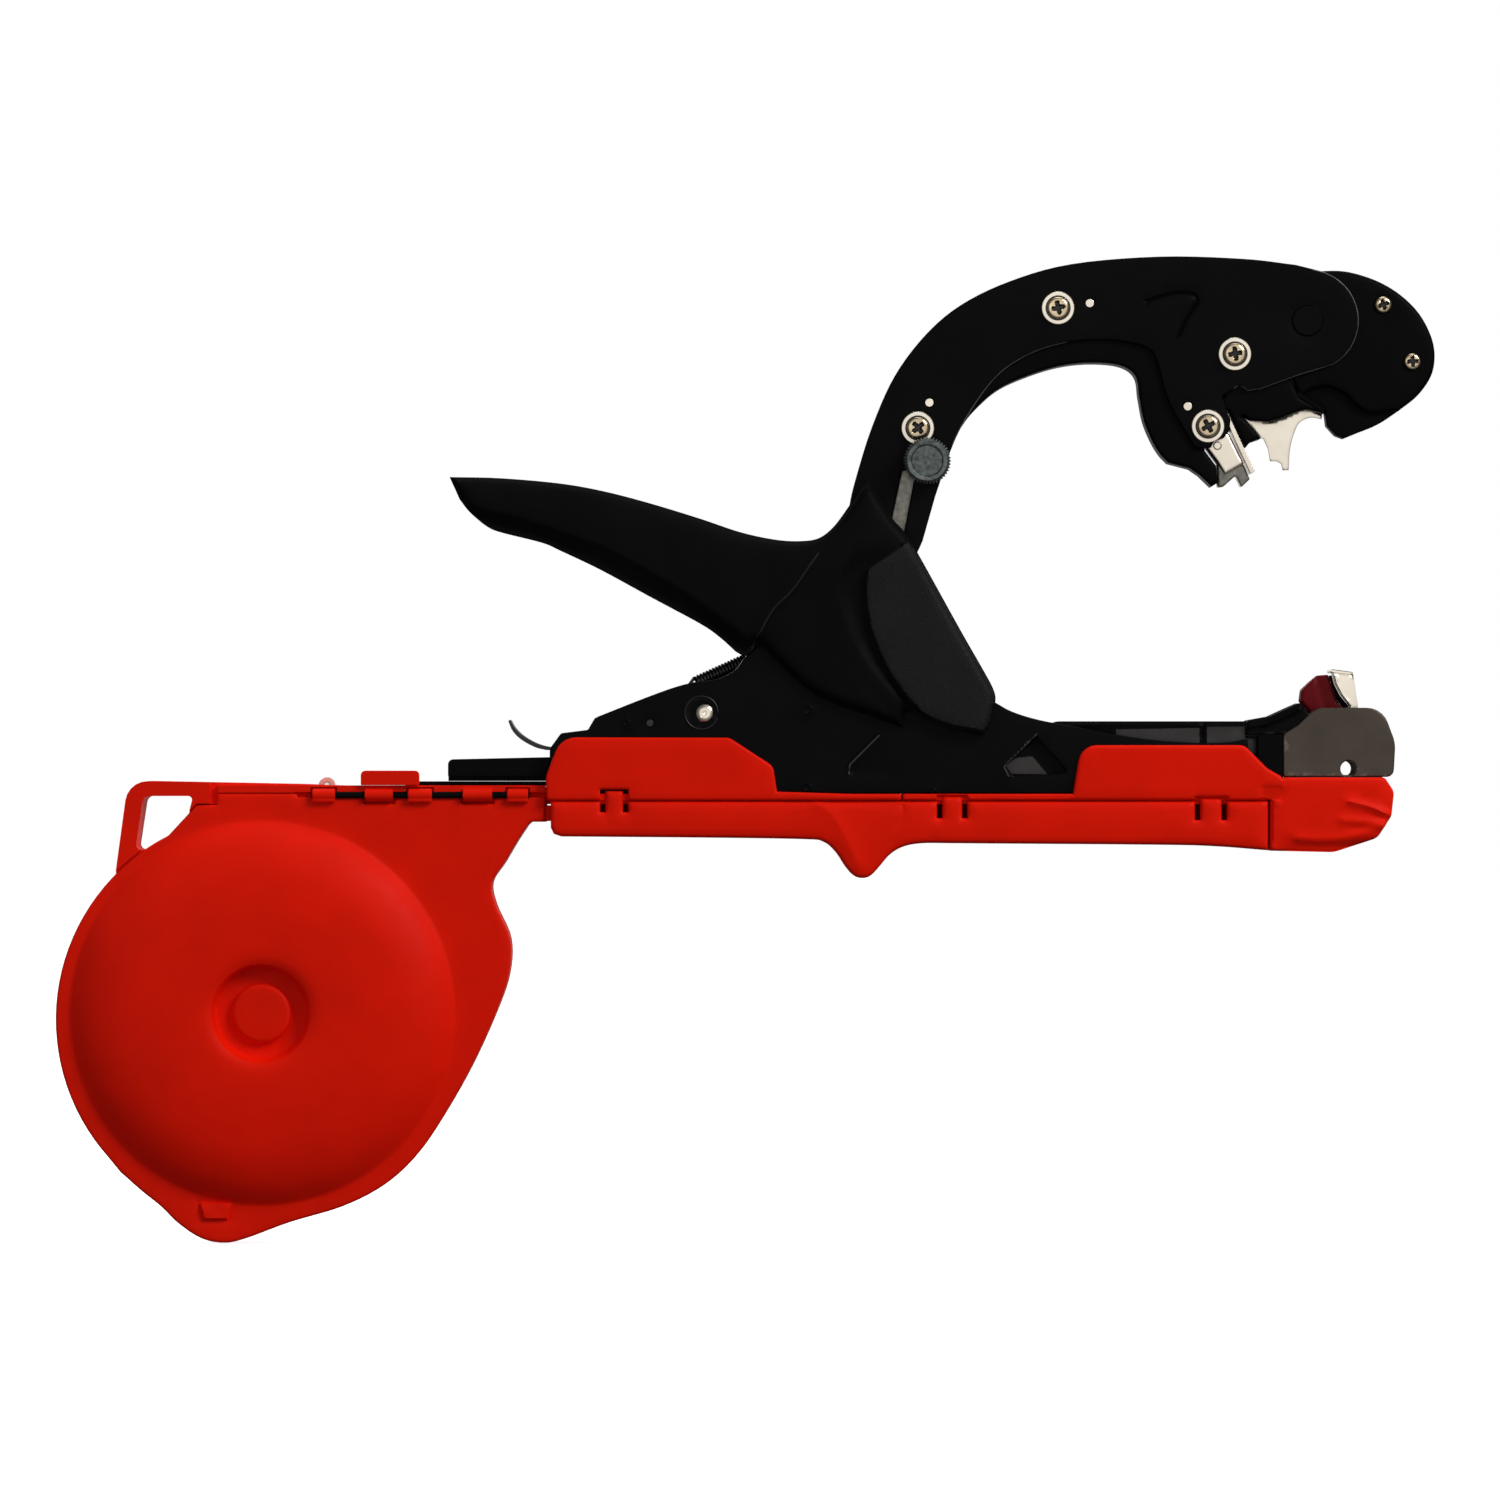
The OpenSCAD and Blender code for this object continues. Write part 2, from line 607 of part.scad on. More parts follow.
module arm_plate_near() {
    arm_plate(-1);
}

module arm_plate_far() {
    arm_plate(1);
}

module arm_core() {
    inner = smooth([[124, 67], [121.6, 69.6], [119.4, 73.4], [117.4, 78.4], [116.2, 84.6], [115.2, 90.2],
        [111, 93.1], [102.9, 93.8], [94.9, 92.9], [86.9, 90.5], [79, 87], [73.4, 82.4], [69.2, 77.4],
        [65.6, 70.4], [61, 57.2]]);
    cheek = [[141.5, 88.5], [146, 93], [146, 101], [152.2, 101], [155, 92.9], [158.9, 85.1],
        [159.3, 84.4], [165.5, 80.95],
        [165.8, 80.2], [160.9, 81.3], [157.9, 80.4], [153.5, 78.7], [150.6, 77.9], [146.1, 78.4],
        [143.7, 79.7],
        [148.8, 73.5], [145.9, 72.5], [144.75, 71.1], [140.15, 80.9], [138.2, 81.2], [138.2, 84]];
    outline = concat(arm_heel, arm_back, [[149.5, 120.8], [149.5, 110], [147, 104], [147, 92], [142.6, 88],
        [138, 84.6], [137, 78]],
        [[131.4, 73.5], [136.8, 66.2], [137.2, 61.6], [135.6, 60.6], [132.4, 63.7], [129.8, 65.5]],
        inner, arm_under);
    color(black) difference() {
        union() {
            slab(outline, -core_y, core_y);
            bar([0, 0], barrel_r, -core_y, core_y);
            both_sides(cheek, 0.75, core_y - 0.1);
        }
        bar([0, 0], pivot_r + 0.06, -20, 20);
        for (s = screw_spots) bar(s, 2, -20, 20);
        for (s = dowel_spots) bar(s, 1.15, -20, 20);
        slab(rounded([[52.6, 66.4, 1.2], [56.8, 66.8, 1.2], [60.6, 62, 1.2], [53, 44, 1],
            [48, 44.6, 1]]), -20, -4);
        bar(knob_at, 2, -20, -2);
    }
}

module arm_screws() {
    color(steel) for (s = screw_spots, side = [-1, 1]) difference() {
        union() {
            bar(s, 2, side > 0 ? 0 : -arm_y, side > 0 ? arm_y : 0);
            bar(s, 3.2, side > 0 ? arm_y + 0.6 : -arm_y - 2.2, side > 0 ? arm_y + 2.2 : -arm_y - 0.6);
            bar(s, 2, side > 0 ? arm_y : -arm_y - 0.6, side > 0 ? arm_y + 0.6 : -arm_y);
        }
        for (turn = [20, 110]) translate([s[0], side * (arm_y + 2.2), s[1]]) rotate([0, turn, 0])
            cube([4, 1.6, 0.8], center = true);
    }
}

module arm_washers() {
    color(steel) for (s = screw_spots, side = [-1, 1]) difference() {
        bar(s, washer_r, side > 0 ? arm_y : -arm_y - 0.6, side > 0 ? arm_y + 0.6 : -arm_y);
        bar(s, 2, -20, 20);
    }
}

module arm_dowels() {
    color(steel) for (s = dowel_spots) bar(s, 1.15, -arm_y - 0.3, arm_y + 0.3);
}

module adjuster_link() {
    color(steel) difference() {
        slab(rounded([[52.8, 65.4, 1.2], [56.8, 66, 1.2], [60, 62, 1.2], [52.9, 45, 1], [48.6, 45.6, 1]]),
            -core_y + 0.1, -4);
    }
}

module adjuster_stud() {
    color(steel) {
        bar(knob_at, 2, -arm_y - 5, -2);
    }
}

module adjuster_knob() {
    teeth = 48;
    color([0.42, 0.45, 0.43]) difference() {
        union() {
            turned([[0, -arm_y - 0.8], [4.6, -arm_y - 0.8], [4.6, -arm_y - 2.4], [knob_r - 1, -arm_y - 2.4],
                [knob_r - 0.6, -arm_y - 2.8], [knob_r - 0.6, -arm_y - 5.4], [knob_r - 1.2, -arm_y - 6],
                [4.8, -arm_y - 6], [4.4, -arm_y - 5.6], [0, -arm_y - 5.6]], knob_at);
            translate([knob_at[0], -arm_y - 2.8, knob_at[1]]) rotate([90, 0, 0])
                linear_extrude(2.6) polygon([for (i = [0 : 2 * teeth - 1])
                    (i % 2 == 0 ? knob_r : knob_r - 0.7) * [cos(i * 180 / teeth), sin(i * 180 / teeth)]]);
        }
        bar(knob_at, 2.06, -arm_y - 5.1, 0);
    }
}

module clincher() {
    block = rounded([[132.4, 73.4, 0], [136.9, 67.4, 0], [139.2, 63.8, 0.5], [144.4, 66.7, 0.5],
        [140.5, 74.6, 0.8], [138, 77, 0]]);
    hook = rounded([[137.2, 66.8, 0], [137.4, 60.5, 0.3], [138.9, 60.7, 0.3], [142.2, 63.6, 0.3],
        [143.7, 60.5, 0.3], [146, 62.7, 0.3], [144.7, 65.9, 0.3], [142, 70.4, 0]]);
    color(steel) difference() {
        union() {
            slab(block, -4.6, 4.6);
            slab(hook, -3.4, 3.4);
            bar([137.2, 71.6], 1.15, -5.2, 5.2);
        }
        for (s = dowel_spots) bar(s, 1.15, -20, 20);
        for (s = screw_spots) bar(s, 2, -20, 20);
    }
}

module catch_strip() {
    strip = [[138.6, 80.4], [139.9, 80.6], [147.3, 64.7], [146.1, 64.1]];
    color(steel) slab(strip, -5, 5);
}

module catch_plate() {
    teeth = concat(
        smooth([[147.5, 80.2], [151, 78.3], [154.6, 79.3], [158.4, 81.2], [161.6, 82.1], [165.6, 79.9]]),
        smooth([[165.4, 78.9], [162.4, 79.3], [159.6, 78], [158.2, 75.4], [157, 71], [156.6, 65.2]]),
        [[155, 65.2], [154.6, 66.9], [153.4, 67.6], [151.6, 67.6], [151, 71], [149.8, 73.6],
        [148.8, 73.9], [143.6, 79.8], [144.4, 80.4], [143.6, 86], [146, 86.6]]
    );
    color(steel) difference() {
        slab(teeth, -0.7, 0.7);
    }
}

// ---- nose guard ----

module guard_pivot() {
    color(black) {
        bar(guard_at, 4, -arm_y - 0.3, arm_y + 0.3);
    }
}

module nose_guard() {
    top = smooth([[160.4, 117.6], [166, 118.4], [172.4, 118.1], [180, 115.7], [186.2, 112], [191.2, 107],
        [194.4, 101], [195.4, 95.6], [194.4, 90.2], [190.8, 85], [185.6, 80.8]]);
    core = concat(top, smooth([[185.6, 80.8], [180.4, 77.4], [174.6, 75], [171.2, 73.6]]),
        [[169, 74.4], [166.6, 77], [166, 81.4], [160, 85], [155.4, 93], [152.6, 101], [152.6, 109]]);
    face = concat(top, smooth([[185.6, 80.8], [181.8, 80.6], [178, 80.2], [174.6, 82], [171.4, 85.2],
        [167, 87.2], [163, 86.8], [159.4, 84.8]]), [[155.4, 93], [152.6, 101], [152.6, 109]]);
    color(black) difference() {
        union() {
            slab(core, -3.6, 3.6);
            both_sides(face, 3.6, core_y - 0.15);
        }
        bar(guard_at, 4.07, -20, 20);
        for (s = guard_screw_spots) bar(s, 1.2, -20, 20);
        slab([[158, 76], [176, 70], [182, 78], [180, 88], [160, 91]], -0.8, 0.8);
    }
}

module guard_screws() {
    color(steel) for (s = guard_screw_spots) difference() {
        union() {
            bar(s, 1.2, -core_y, core_y - 1);
            bar(s, 2.3, -core_y - 1.1, -core_y + 0.15);
        }
        for (turn = [15, 105]) translate([s[0], -core_y - 1.1, s[1]]) rotate([0, turn, 0])
            cube([3, 1, 0.6], center = true);
    }
}

module cutter_blade() {
    edge = [[167.8, 77.6], [170.8, 76], [177, 79], [179.6, 86], [168, 88.6], [166.8, 84]];
    color(steel) slab(edge, -0.8, 0.8);
}

// ---- hand lever ----

lever_top = smooth([[-68.2, 63], [-54.8, 62.7], [-38.8, 61.3], [-27, 59.2], [-14.7, 56], [-1.3, 51.9],
    [9.4, 48.3], [18.7, 46.3], [25.4, 45.9], [30.4, 46.7], [34.4, 49.8], [38.4, 55.2], [41.6, 60],
    [43.4, 62]]);
lever_right = smooth([[44.2, 61.6], [46.9, 57], [50, 52], [53.4, 48.2], [57, 42.4], [68.2, 22.2],
    [74.6, 11], [77, 6.4], [77.6, 3.4], [76.6, -1], [75.2, -5.4]]);
lever_under = concat([[74.4, -6]], smooth([[66, -4.6], [60, -2.4], [57, -0.6]]), [[53.4, 0.4], [52.9, -4]],
    smooth([[52.9, -4], [44.1, -0.7], [33.6, 3], [25.4, 8], [13.9, 19.4]]), [[12.4, 16.4],
        [10.6, 15.2], [8.2, 16.6]],
    smooth([[8.2, 16.6], [4, 20.4], [-1.3, 24.1], [-14.7, 31.3], [-28.1, 38.6], [-38.8, 43.7],
        [-44.1, 46], [-54.8, 48.7], [-58.8, 50.3], [-62.8, 53.6], [-65.5, 57]]));
panel_outline = concat(
    smooth([[49.6, 51.6], [45.4, 44.8], [43.2, 37], [43, 30], [44.4, 22], [48, 13], [53.3, 5],
        [58.8, -0.6], [66, -3.6], [74.4, -5.4]]),
    smooth([[76, -2], [77, 3.4], [76.4, 6.6], [74, 11], [67.6, 22.2], [56.4, 42.4], [52.8, 48.2]])
);

module hand_lever() {
    outline = concat(lever_top, lever_right, lever_under);
    hollow = concat([[-63, 57.5]], smooth([[-58, 59.3], [-38.8, 58], [-27, 56], [-14.7, 52.8], [-1.3, 48.7],
        [9.4, 45.1], [18.7, 43.1], [25.4, 42.7], [30.4, 43.4], [33, 44.6]]), [[34.6, 47], [35.2, 50],
        [35.2, 90],
        [120, 60], [100, -30], [0, -30], [-60, 30], [-72, 47]]);
    color(dark) difference() {
        union() {
            slab(outline, -lever_y, lever_y);
            both_sides(panel_outline, lever_y - 0.1, panel_y);
        }
        slab(hollow, -lever_in, lever_in);
        bar(lever_pivot, lever_pin_r + 0.07, -frame_y - 2.8, frame_y + 2.8);
        bar(press_at, 1.6, -lever_in - 1.4, lever_in + 1.4);
    }
}

module press_roller() {
    color(steel) {
        bar(press_at, press_r, -arm_y, arm_y);
        bar(press_at, 1.6, -lever_in - 1.4, lever_in + 1.4);
    }
}

// ---- staple loader ----

rod_at = [0, -14.6];

module loader() {
    tail = rounded([[-68.8, -16.8, 0], [-68.8, -12.4, 1.4], [-41.7, -11.8, 0], [-41.7, -16.8, 0]]);
    color(black) {
        slab(tail, -6.2, 6.2);
        box([-68.8, -3.2, -18.2], [-42.4, 3.2, -16.7]);
        rod(rod_at, 1.2, -43, 96);
    }
}

module staple_pusher() {
    color(steel) difference() {
        box([88, -4.9, -18.1], [97.6, 4.9, -10.6]);
        rod(rod_at, 1.28, 80, 100);
    }
}

module pusher_spring() {
    color(steel) difference() {
        rod(rod_at, 2.4, -36, 87.8);
        rod(rod_at, 1.5, -40, 90);
    }
}

side_plate_near();
side_plate_far();
plate_spacers();
main_pivot_pin();
pivot_rings();
lever_pivot_pin();
magazine();
staple_stick();
driver_block();
driver_blade();
nose_plate();
tape_clip();
tape_gripper();
gripper_block();
gripper_arm();
rear_cover();
front_cover();
cassette_body();
door_hinge_pin();
door_tab();
roller_pin();
hook_spring();
return_spring();
cover_hinge_pin();
arm_plate_near();
arm_plate_far();
arm_core();
arm_screws();
arm_washers();
arm_dowels();
adjuster_link();
adjuster_stud();
clincher();
catch_plate();
catch_strip();
guard_pivot();
nose_guard();
guard_screws();
cutter_blade();
adjuster_knob();
hand_lever();
press_roller();
tape_cover();
cassette_door();
tape_roll();
roll_core();
tension_roller();
loader();
staple_pusher();
pusher_spring();
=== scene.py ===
import math
import random

import bmesh
import bpy
import numpy as np
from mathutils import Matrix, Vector, geometry


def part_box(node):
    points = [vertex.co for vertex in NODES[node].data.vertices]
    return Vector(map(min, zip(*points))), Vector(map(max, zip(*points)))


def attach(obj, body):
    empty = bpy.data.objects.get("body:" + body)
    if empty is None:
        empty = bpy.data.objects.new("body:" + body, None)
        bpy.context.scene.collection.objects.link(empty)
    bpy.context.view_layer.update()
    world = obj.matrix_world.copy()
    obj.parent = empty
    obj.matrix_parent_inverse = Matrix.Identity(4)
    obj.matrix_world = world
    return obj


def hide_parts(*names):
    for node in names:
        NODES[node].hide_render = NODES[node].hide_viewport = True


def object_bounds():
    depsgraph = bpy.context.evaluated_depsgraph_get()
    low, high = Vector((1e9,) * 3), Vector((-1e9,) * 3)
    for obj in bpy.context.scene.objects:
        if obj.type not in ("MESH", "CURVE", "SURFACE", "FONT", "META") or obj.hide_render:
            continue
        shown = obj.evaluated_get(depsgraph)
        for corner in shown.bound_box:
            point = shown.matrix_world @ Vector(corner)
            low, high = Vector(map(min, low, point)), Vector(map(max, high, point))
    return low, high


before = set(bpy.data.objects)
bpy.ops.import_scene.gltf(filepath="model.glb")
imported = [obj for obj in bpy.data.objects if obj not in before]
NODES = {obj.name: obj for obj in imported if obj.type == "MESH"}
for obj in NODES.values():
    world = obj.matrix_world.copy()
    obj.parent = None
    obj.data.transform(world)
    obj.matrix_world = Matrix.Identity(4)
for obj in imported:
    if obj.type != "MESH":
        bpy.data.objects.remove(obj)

cad_low, cad_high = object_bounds()
random.seed(7)
MM = 0.001
WELD = 2e-6
scene = bpy.context.scene

# ---------------------------------------------------------------- camera

# the plane of the near plates, the camera's distance from it and the picture's width there, in metres
NEAR_PLATE, DISTANCE, PICTURE_WIDTH = -0.0085, 2.0, 0.40095
SENSOR = 36
camera = bpy.data.objects.new("camera", bpy.data.cameras.new("camera"))
scene.collection.objects.link(camera)
scene.camera = camera
camera.location = (0.01203, NEAR_PLATE - DISTANCE, -0.00989)
camera.rotation_euler = (math.radians(90), 0, 0)
camera.data.sensor_width = SENSOR
camera.data.lens = SENSOR * DISTANCE / PICTURE_WIDTH
scene.view_settings.view_transform = "Standard"

# ---------------------------------------------------------------- materials

REFRACTION = 1.45
SCATTER = 0.002


def ranged(nt, value, low, high, a, b):
    """A node that takes a value from low..high to a..b."""
    r = nt.nodes.new("ShaderNodeMapRange")
    for socket, number in zip(("From Min", "From Max", "To Min", "To Max"), (low, high, a, b)):
        r.inputs[socket].default_value = number
    nt.links.new(value, r.inputs["Value"])
    return r.outputs[0]


def material(name, colour, rough, metal=0.0, vary=0.08, spread=0.06, grain=0.0, size=0.4, wear=None,
             wear_at=0.56, patch=14.0, subsurface=0.0, speckle=0.0, gloss=0.5):
    """A procedural finish. Sizes are in mm, grain is the depth of the bump in mm."""
    m = bpy.data.materials.new(name)
    m.use_nodes = True
    nt = m.node_tree
    nt.nodes.clear()
    add, link = nt.nodes.new, nt.links.new
    out = add("ShaderNodeOutputMaterial")
    bsdf = add("ShaderNodeBsdfPrincipled")
    link(bsdf.outputs[0], out.inputs[0])
    place = add("ShaderNodeTexCoord").outputs["Object"]

    def spots(scale_mm, detail):
        n = add("ShaderNodeTexNoise")
        n.inputs["Scale"].default_value = 1.0 / (scale_mm * MM)
        n.inputs["Detail"].default_value = detail
        link(place, n.inputs["Vector"])
        return n.outputs["Fac"]

    def mixed(factor, a, b):
        x = add("ShaderNodeMix")
        x.data_type = "RGBA"
        for socket, value in ((x.inputs[0], factor), (x.inputs[6], a), (x.inputs[7], b)):
            if isinstance(value, tuple):
                socket.default_value = (*value, 1.0)
            else:
                link(value, socket)
        return x.outputs[2]

    dark = tuple(c * (1 - vary) for c in colour)
    light = tuple(min(1.0, c * (1 + vary)) for c in colour)
    tint = mixed(ranged(nt, spots(patch, 4), 0.3, 0.7, 0, 1), dark, light)
    if speckle:
        tint = mixed(ranged(nt, spots(size * 0.8, 1), 0.62, 0.75, 0, speckle), tint,
                     tuple(min(1.0, c * 3 + 0.02) for c in colour))
    if wear:
        edge = add("ShaderNodeNewGeometry").outputs["Pointiness"]
        chips = add("ShaderNodeMath")
        chips.operation = "MULTIPLY"
        link(ranged(nt, edge, wear_at - 0.03, wear_at + 0.05, 0, 1), chips.inputs[0])
        link(ranged(nt, spots(2.2, 5), 0.45, 0.62, 0, 0.75), chips.inputs[1])
        tint = mixed(chips.outputs[0], tint, wear)
    link(tint, bsdf.inputs["Base Color"])
    link(ranged(nt, spots(patch * 0.35, 5), 0.25, 0.75, max(0.02, rough - spread), min(1.0, rough + spread)),
         bsdf.inputs["Roughness"])
    for socket, number in (("Metallic", metal), ("IOR", REFRACTION), ("Specular IOR Level", gloss),
                           ("Subsurface Weight", subsurface), ("Subsurface Scale", SCATTER)):
        bsdf.inputs[socket].default_value = number
    if grain:
        bump = add("ShaderNodeBump")
        bump.inputs["Strength"].default_value = 1.0
        bump.inputs["Distance"].default_value = grain * MM
        link(spots(size, 2), bump.inputs["Height"])
        link(bump.outputs[0], bsdf.inputs["Normal"])
    m.diffuse_color = (*colour, 1)
    return m


RED = material("red_moulding", (0.93, 0.011, 0.001), 0.5, vary=0.05, grain=0.012, size=0.35, gloss=0.08)
BLACK_STEEL = material("black_painted_steel", (0.003, 0.003, 0.0032), 0.38, gloss=0.04, vary=0.2,
                       grain=0.006, size=0.5, wear=(0.03, 0.03, 0.031), wear_at=0.6)
BLACK_PLASTIC = material("black_moulding", (0.0025, 0.0025, 0.0027), 0.42, vary=0.2, grain=0.01, size=0.3,
                         gloss=0.035)
LEVER = material("lever_moulding", (0.004, 0.004, 0.0042), 0.5, vary=0.2, grain=0.02, size=0.35, gloss=0.03)
PANEL = material("lever_panel_grain", (0.011, 0.011, 0.0115), 0.55, vary=0.2, grain=0.09, size=0.5,
                 speckle=0.5, gloss=0.1)
BRIGHT = material("bright_nickel", (0.78, 0.72, 0.62), 0.26, metal=1.0, vary=0.1, spread=0.08,
                  grain=0.006, size=0.6)
GILT = material("gilt_nickel", (0.6, 0.49, 0.33), 0.2, metal=1.0, vary=0.2, spread=0.08, grain=0.006,
                size=0.6)
# a lighter black, painted along the lever's crease as the highlight of its lit step
LEVER_CREASE_HIGHLIGHT = material("lever_painted_crease_highlight", (0.014, 0.014, 0.0145), 0.4, vary=0.3, grain=0.01, gloss=0.1)
DULL_STEEL = material("dull_link_steel", (0.2, 0.195, 0.17), 0.45, metal=0.8, vary=0.3, grain=0.05,
                      size=0.5, patch=1.5)
# a light grey painted on lit rims of the arm plates as highlight
RIM_HIGHLIGHT = material("painted_edge_highlight", (0.16, 0.16, 0.165), 0.35, metal=0.5, vary=0.4, patch=4)
WARM_GREY = material("warm_grey_steel", (0.06, 0.047, 0.037), 0.38, metal=0.7, vary=0.15, grain=0.008,
                     size=0.5, wear=(0.16, 0.14, 0.12), wear_at=0.6)
# grey steel of the channel; also painted as highlight on the plates' cast ribs and on the lit patch in their
# window
DARK_GREY = material("dark_grey_steel", (0.03, 0.028, 0.028), 0.42, metal=0.6, vary=0.15, grain=0.008,
                     size=0.5)
SPRING = material("spring_steel_dark", (0.03, 0.03, 0.032), 0.35, metal=0.8, vary=0.2, grain=0.004)
MAROON = material("maroon_rubber", (0.13, 0.002, 0.006), 0.35, vary=0.2, grain=0.02, gloss=0.12)
ZINC = material("zinc_plate", (0.085, 0.1, 0.095), 0.42, metal=0.8, vary=0.5, grain=0.05, size=0.45,
                patch=1.2, wear=(0.3, 0.32, 0.3), wear_at=0.55)
FILM = material("green_tape_film", (0.03, 0.22, 0.05), 0.35, vary=0.15, grain=0.01, size=0.6)
BOARD = material("brown_core_board", (0.32, 0.2, 0.1), 0.8, vary=0.15, grain=0.03, size=0.5)
PALE = material("pale_roller_plastic", (0.8, 0.5, 0.45), 0.35, vary=0.05, grain=0.005, subsurface=0.3)

FINISH = {node: finish for finish, nodes in (
    (BLACK_STEEL, "side_plate_near side_plate_far gripper_arm door_hinge_pin arm_plate_near arm_plate_far "
                  "guard_pivot"),
    (BLACK_PLASTIC, "driver_block gripper_block arm_core nose_guard loader"),
    (BRIGHT, "main_pivot_pin pivot_rings lever_pivot_pin staple_stick driver_blade tape_clip roller_pin "
             "cover_hinge_pin arm_screws arm_washers arm_dowels adjuster_stud clincher catch_plate "
             "catch_strip guard_screws cutter_blade press_roller staple_pusher"),
    (RED, "rear_cover front_cover cassette_body door_tab tape_cover cassette_door"),
    (SPRING, "plate_spacers hook_spring return_spring pusher_spring"), (WARM_GREY, "magazine nose_plate"),
    (DULL_STEEL, "adjuster_link"), (MAROON, "tape_gripper"), (ZINC, "adjuster_knob"), (LEVER, "hand_lever"),
    (FILM, "tape_roll"), (BOARD, "roll_core"), (PALE, "tension_roller"),
) for node in nodes.split()}

# ---------------------------------------------------------------- outlines, in mm


def section(node, y):
    """The closed loops of (x, z) where the plane y cuts a CAD node, longest first."""
    bm = bmesh.new()
    bm.from_mesh(NODES[node].data)
    bmesh.ops.remove_doubles(bm, verts=bm.verts, dist=WELD)
    found = bmesh.ops.bisect_plane(bm, geom=[*bm.verts, *bm.edges, *bm.faces], dist=1e-8,
                                   plane_co=(0, y * MM, 0), plane_no=(0, 1, 0))["geom_cut"]
    near = {}
    for e in (e for e in found if isinstance(e, bmesh.types.BMEdge)):
        a, b = (tuple(round(c / MM, 4) for c in (v.co.x, v.co.z)) for v in e.verts)
        if a != b:
            near.setdefault(a, set()).add(b)
            near.setdefault(b, set()).add(a)
    bm.free()
    loops = []
    while near:
        start = min(near)
        loop, here = [start], start
        while near.get(here):
            there = min(near[here], key=lambda p: (p == start and len(loop) < 3, p))
            near[here].discard(there)
            near[there].discard(here)
            if there == start:
                break
            loop.append(there)
            here = there
        near = {k: v for k, v in near.items() if v}
        if len(loop) > 2:
            loops.append(straightened(np.array(loop)))
    return sorted(loops, key=lambda p: -np.abs(np.diff(p, axis=0)).sum())


def straightened(p):
    """A closed loop without the points that lie on a straight run."""
    a, b = p - np.roll(p, 1, 0), np.roll(p, -1, 0) - p
    turn = np.abs(a[:, 0] * b[:, 1] - a[:, 1] * b[:, 0])
    keep = turn > 1e-3 * np.linalg.norm(a, axis=1) * np.linalg.norm(b, axis=1) + 1e-9
    return p[keep]


def smooth(p, n=6):
    """A Catmull-Rom curve through points."""
    p = [np.array(q, float) for q in p]
    out = []
    for i in range(len(p) - 1):
        b, c = p[i], p[i + 1]
        a = p[i - 1] if i else 2 * b - c
        d = p[i + 2] if i + 2 < len(p) else 2 * c - b
        for t in np.arange(n) / n:
            out.append(0.5 * (2 * b + (c - a) * t + (2 * a - 5 * b + 4 * c - d) * t * t
                              + (3 * b - a - 3 * c + d) * t ** 3))
    return np.array(out + [p[-1]])


def circle(at, r, n=48):
    """An open ring of points."""
    t = np.arange(n) * 2 * np.pi / n
    return np.array(at) + r * np.stack([np.cos(t), np.sin(t)], 1)


def denser(p, step, closed=True):
    """The same line, with points at most step apart."""
    ends = np.roll(p, -1, 0) if closed else np.vstack([p[1:], p[-1:]])
    out = []
    for a, b in zip(p, ends):
        k = max(1, int(np.ceil(np.linalg.norm(b - a) / step)))
        out += [a + (b - a) * i / k for i in range(k)]
    return np.array(out)


def to_line(q, p, closed=True):
    """Distance from points q to a polyline, and the side they are on (+ is left of its run)."""
    a = p if closed else p[:-1]
    b = np.roll(p, -1, 0) if closed else p[1:]
    best, side = np.full(len(q), 1e9), np.zeros(len(q))
    for s in range(0, len(a), 64):
        u, v = a[s:s + 64], b[s:s + 64] - a[s:s + 64]
        w = q[:, None, :] - u[None]
        t = np.clip((w * v).sum(2) / np.maximum((v * v).sum(1), 1e-12), 0, 1)
        r = w - t[..., None] * v
        d = np.sqrt((r * r).sum(2))
        i = d.argmin(1)
        k = np.arange(len(q))
        closer = d[k, i] < best - 1e-9
        cross = v[i, 0] * w[k, i, 1] - v[i, 1] * w[k, i, 0]
        side = np.where(closer, np.sign(cross), side)
        best = np.where(closer, d[k, i], best)
    return best, side


def inside(q, loops):
    """Even-odd test of points against several loops."""
    odd = np.zeros(len(q), bool)
    for p in loops:
        a, b = p, np.roll(p, -1, 0)
        for (x0, z0), (x1, z1) in zip(a, b):
            if z0 != z1:
                hit = (q[:, 1] > min(z0, z1)) & (q[:, 1] <= max(z0, z1))
                odd ^= hit & (q[:, 0] < x0 + (q[:, 1] - z0) * (x1 - x0) / (z1 - z0))
    return odd


def ramp(t, low, high):
    """A soft step from 0 at low to 1 at high."""
    t = np.clip((t - low) / (high - low), 0, 1)
    return t * t * (3 - 2 * t)


def looped(p):
    """A ring of points with its first one repeated at the end."""
    return np.vstack([p, p[:1]])


def gap_to(x, z, line):
    """Distance from an open line."""
    return to_line(np.stack([x, z], 1), line, False)[0]


def bell(gap, width):
    """A rounded ridge, 1 high where gap is 0."""
    return np.exp(-(gap / width) ** 2)


# ---------------------------------------------------------------- meshes


SHARP = 38  # degrees


def finishes(finish):
    return finish if isinstance(finish, list) else [finish]


def shade(mesh, sharp):
    mesh.polygons.foreach_set("use_smooth", [True] * len(mesh.polygons))
    mesh.set_sharp_from_angle(angle=math.radians(sharp))


def piece(name, verts_mm, faces, finish, body=None, stands_for=(), sharp=SHARP, areas=None, clean=True):
    """A piece from points in mm, or a part of one where body is None. areas picks each face's finish."""
    mesh = bpy.data.meshes.new(name)
    mesh.from_pydata([(x * MM, y * MM, z * MM) for x, y, z in verts_mm], [], faces)
    o = bpy.data.objects.new(name, mesh)
    scene.collection.objects.link(o)
    for m in finishes(finish):
        mesh.materials.append(m)
    if areas is not None:
        mesh.polygons.foreach_set("material_index", areas)
    if clean:
        bm = bmesh.new()
        bm.from_mesh(mesh)
        bmesh.ops.remove_doubles(bm, verts=bm.verts, dist=1e-6)
        bmesh.ops.recalc_face_normals(bm, faces=bm.faces)
        bm.to_mesh(mesh)
        bm.free()
    shade(mesh, sharp)
    mesh.update()
    return settle(o, body, stands_for) if body else o


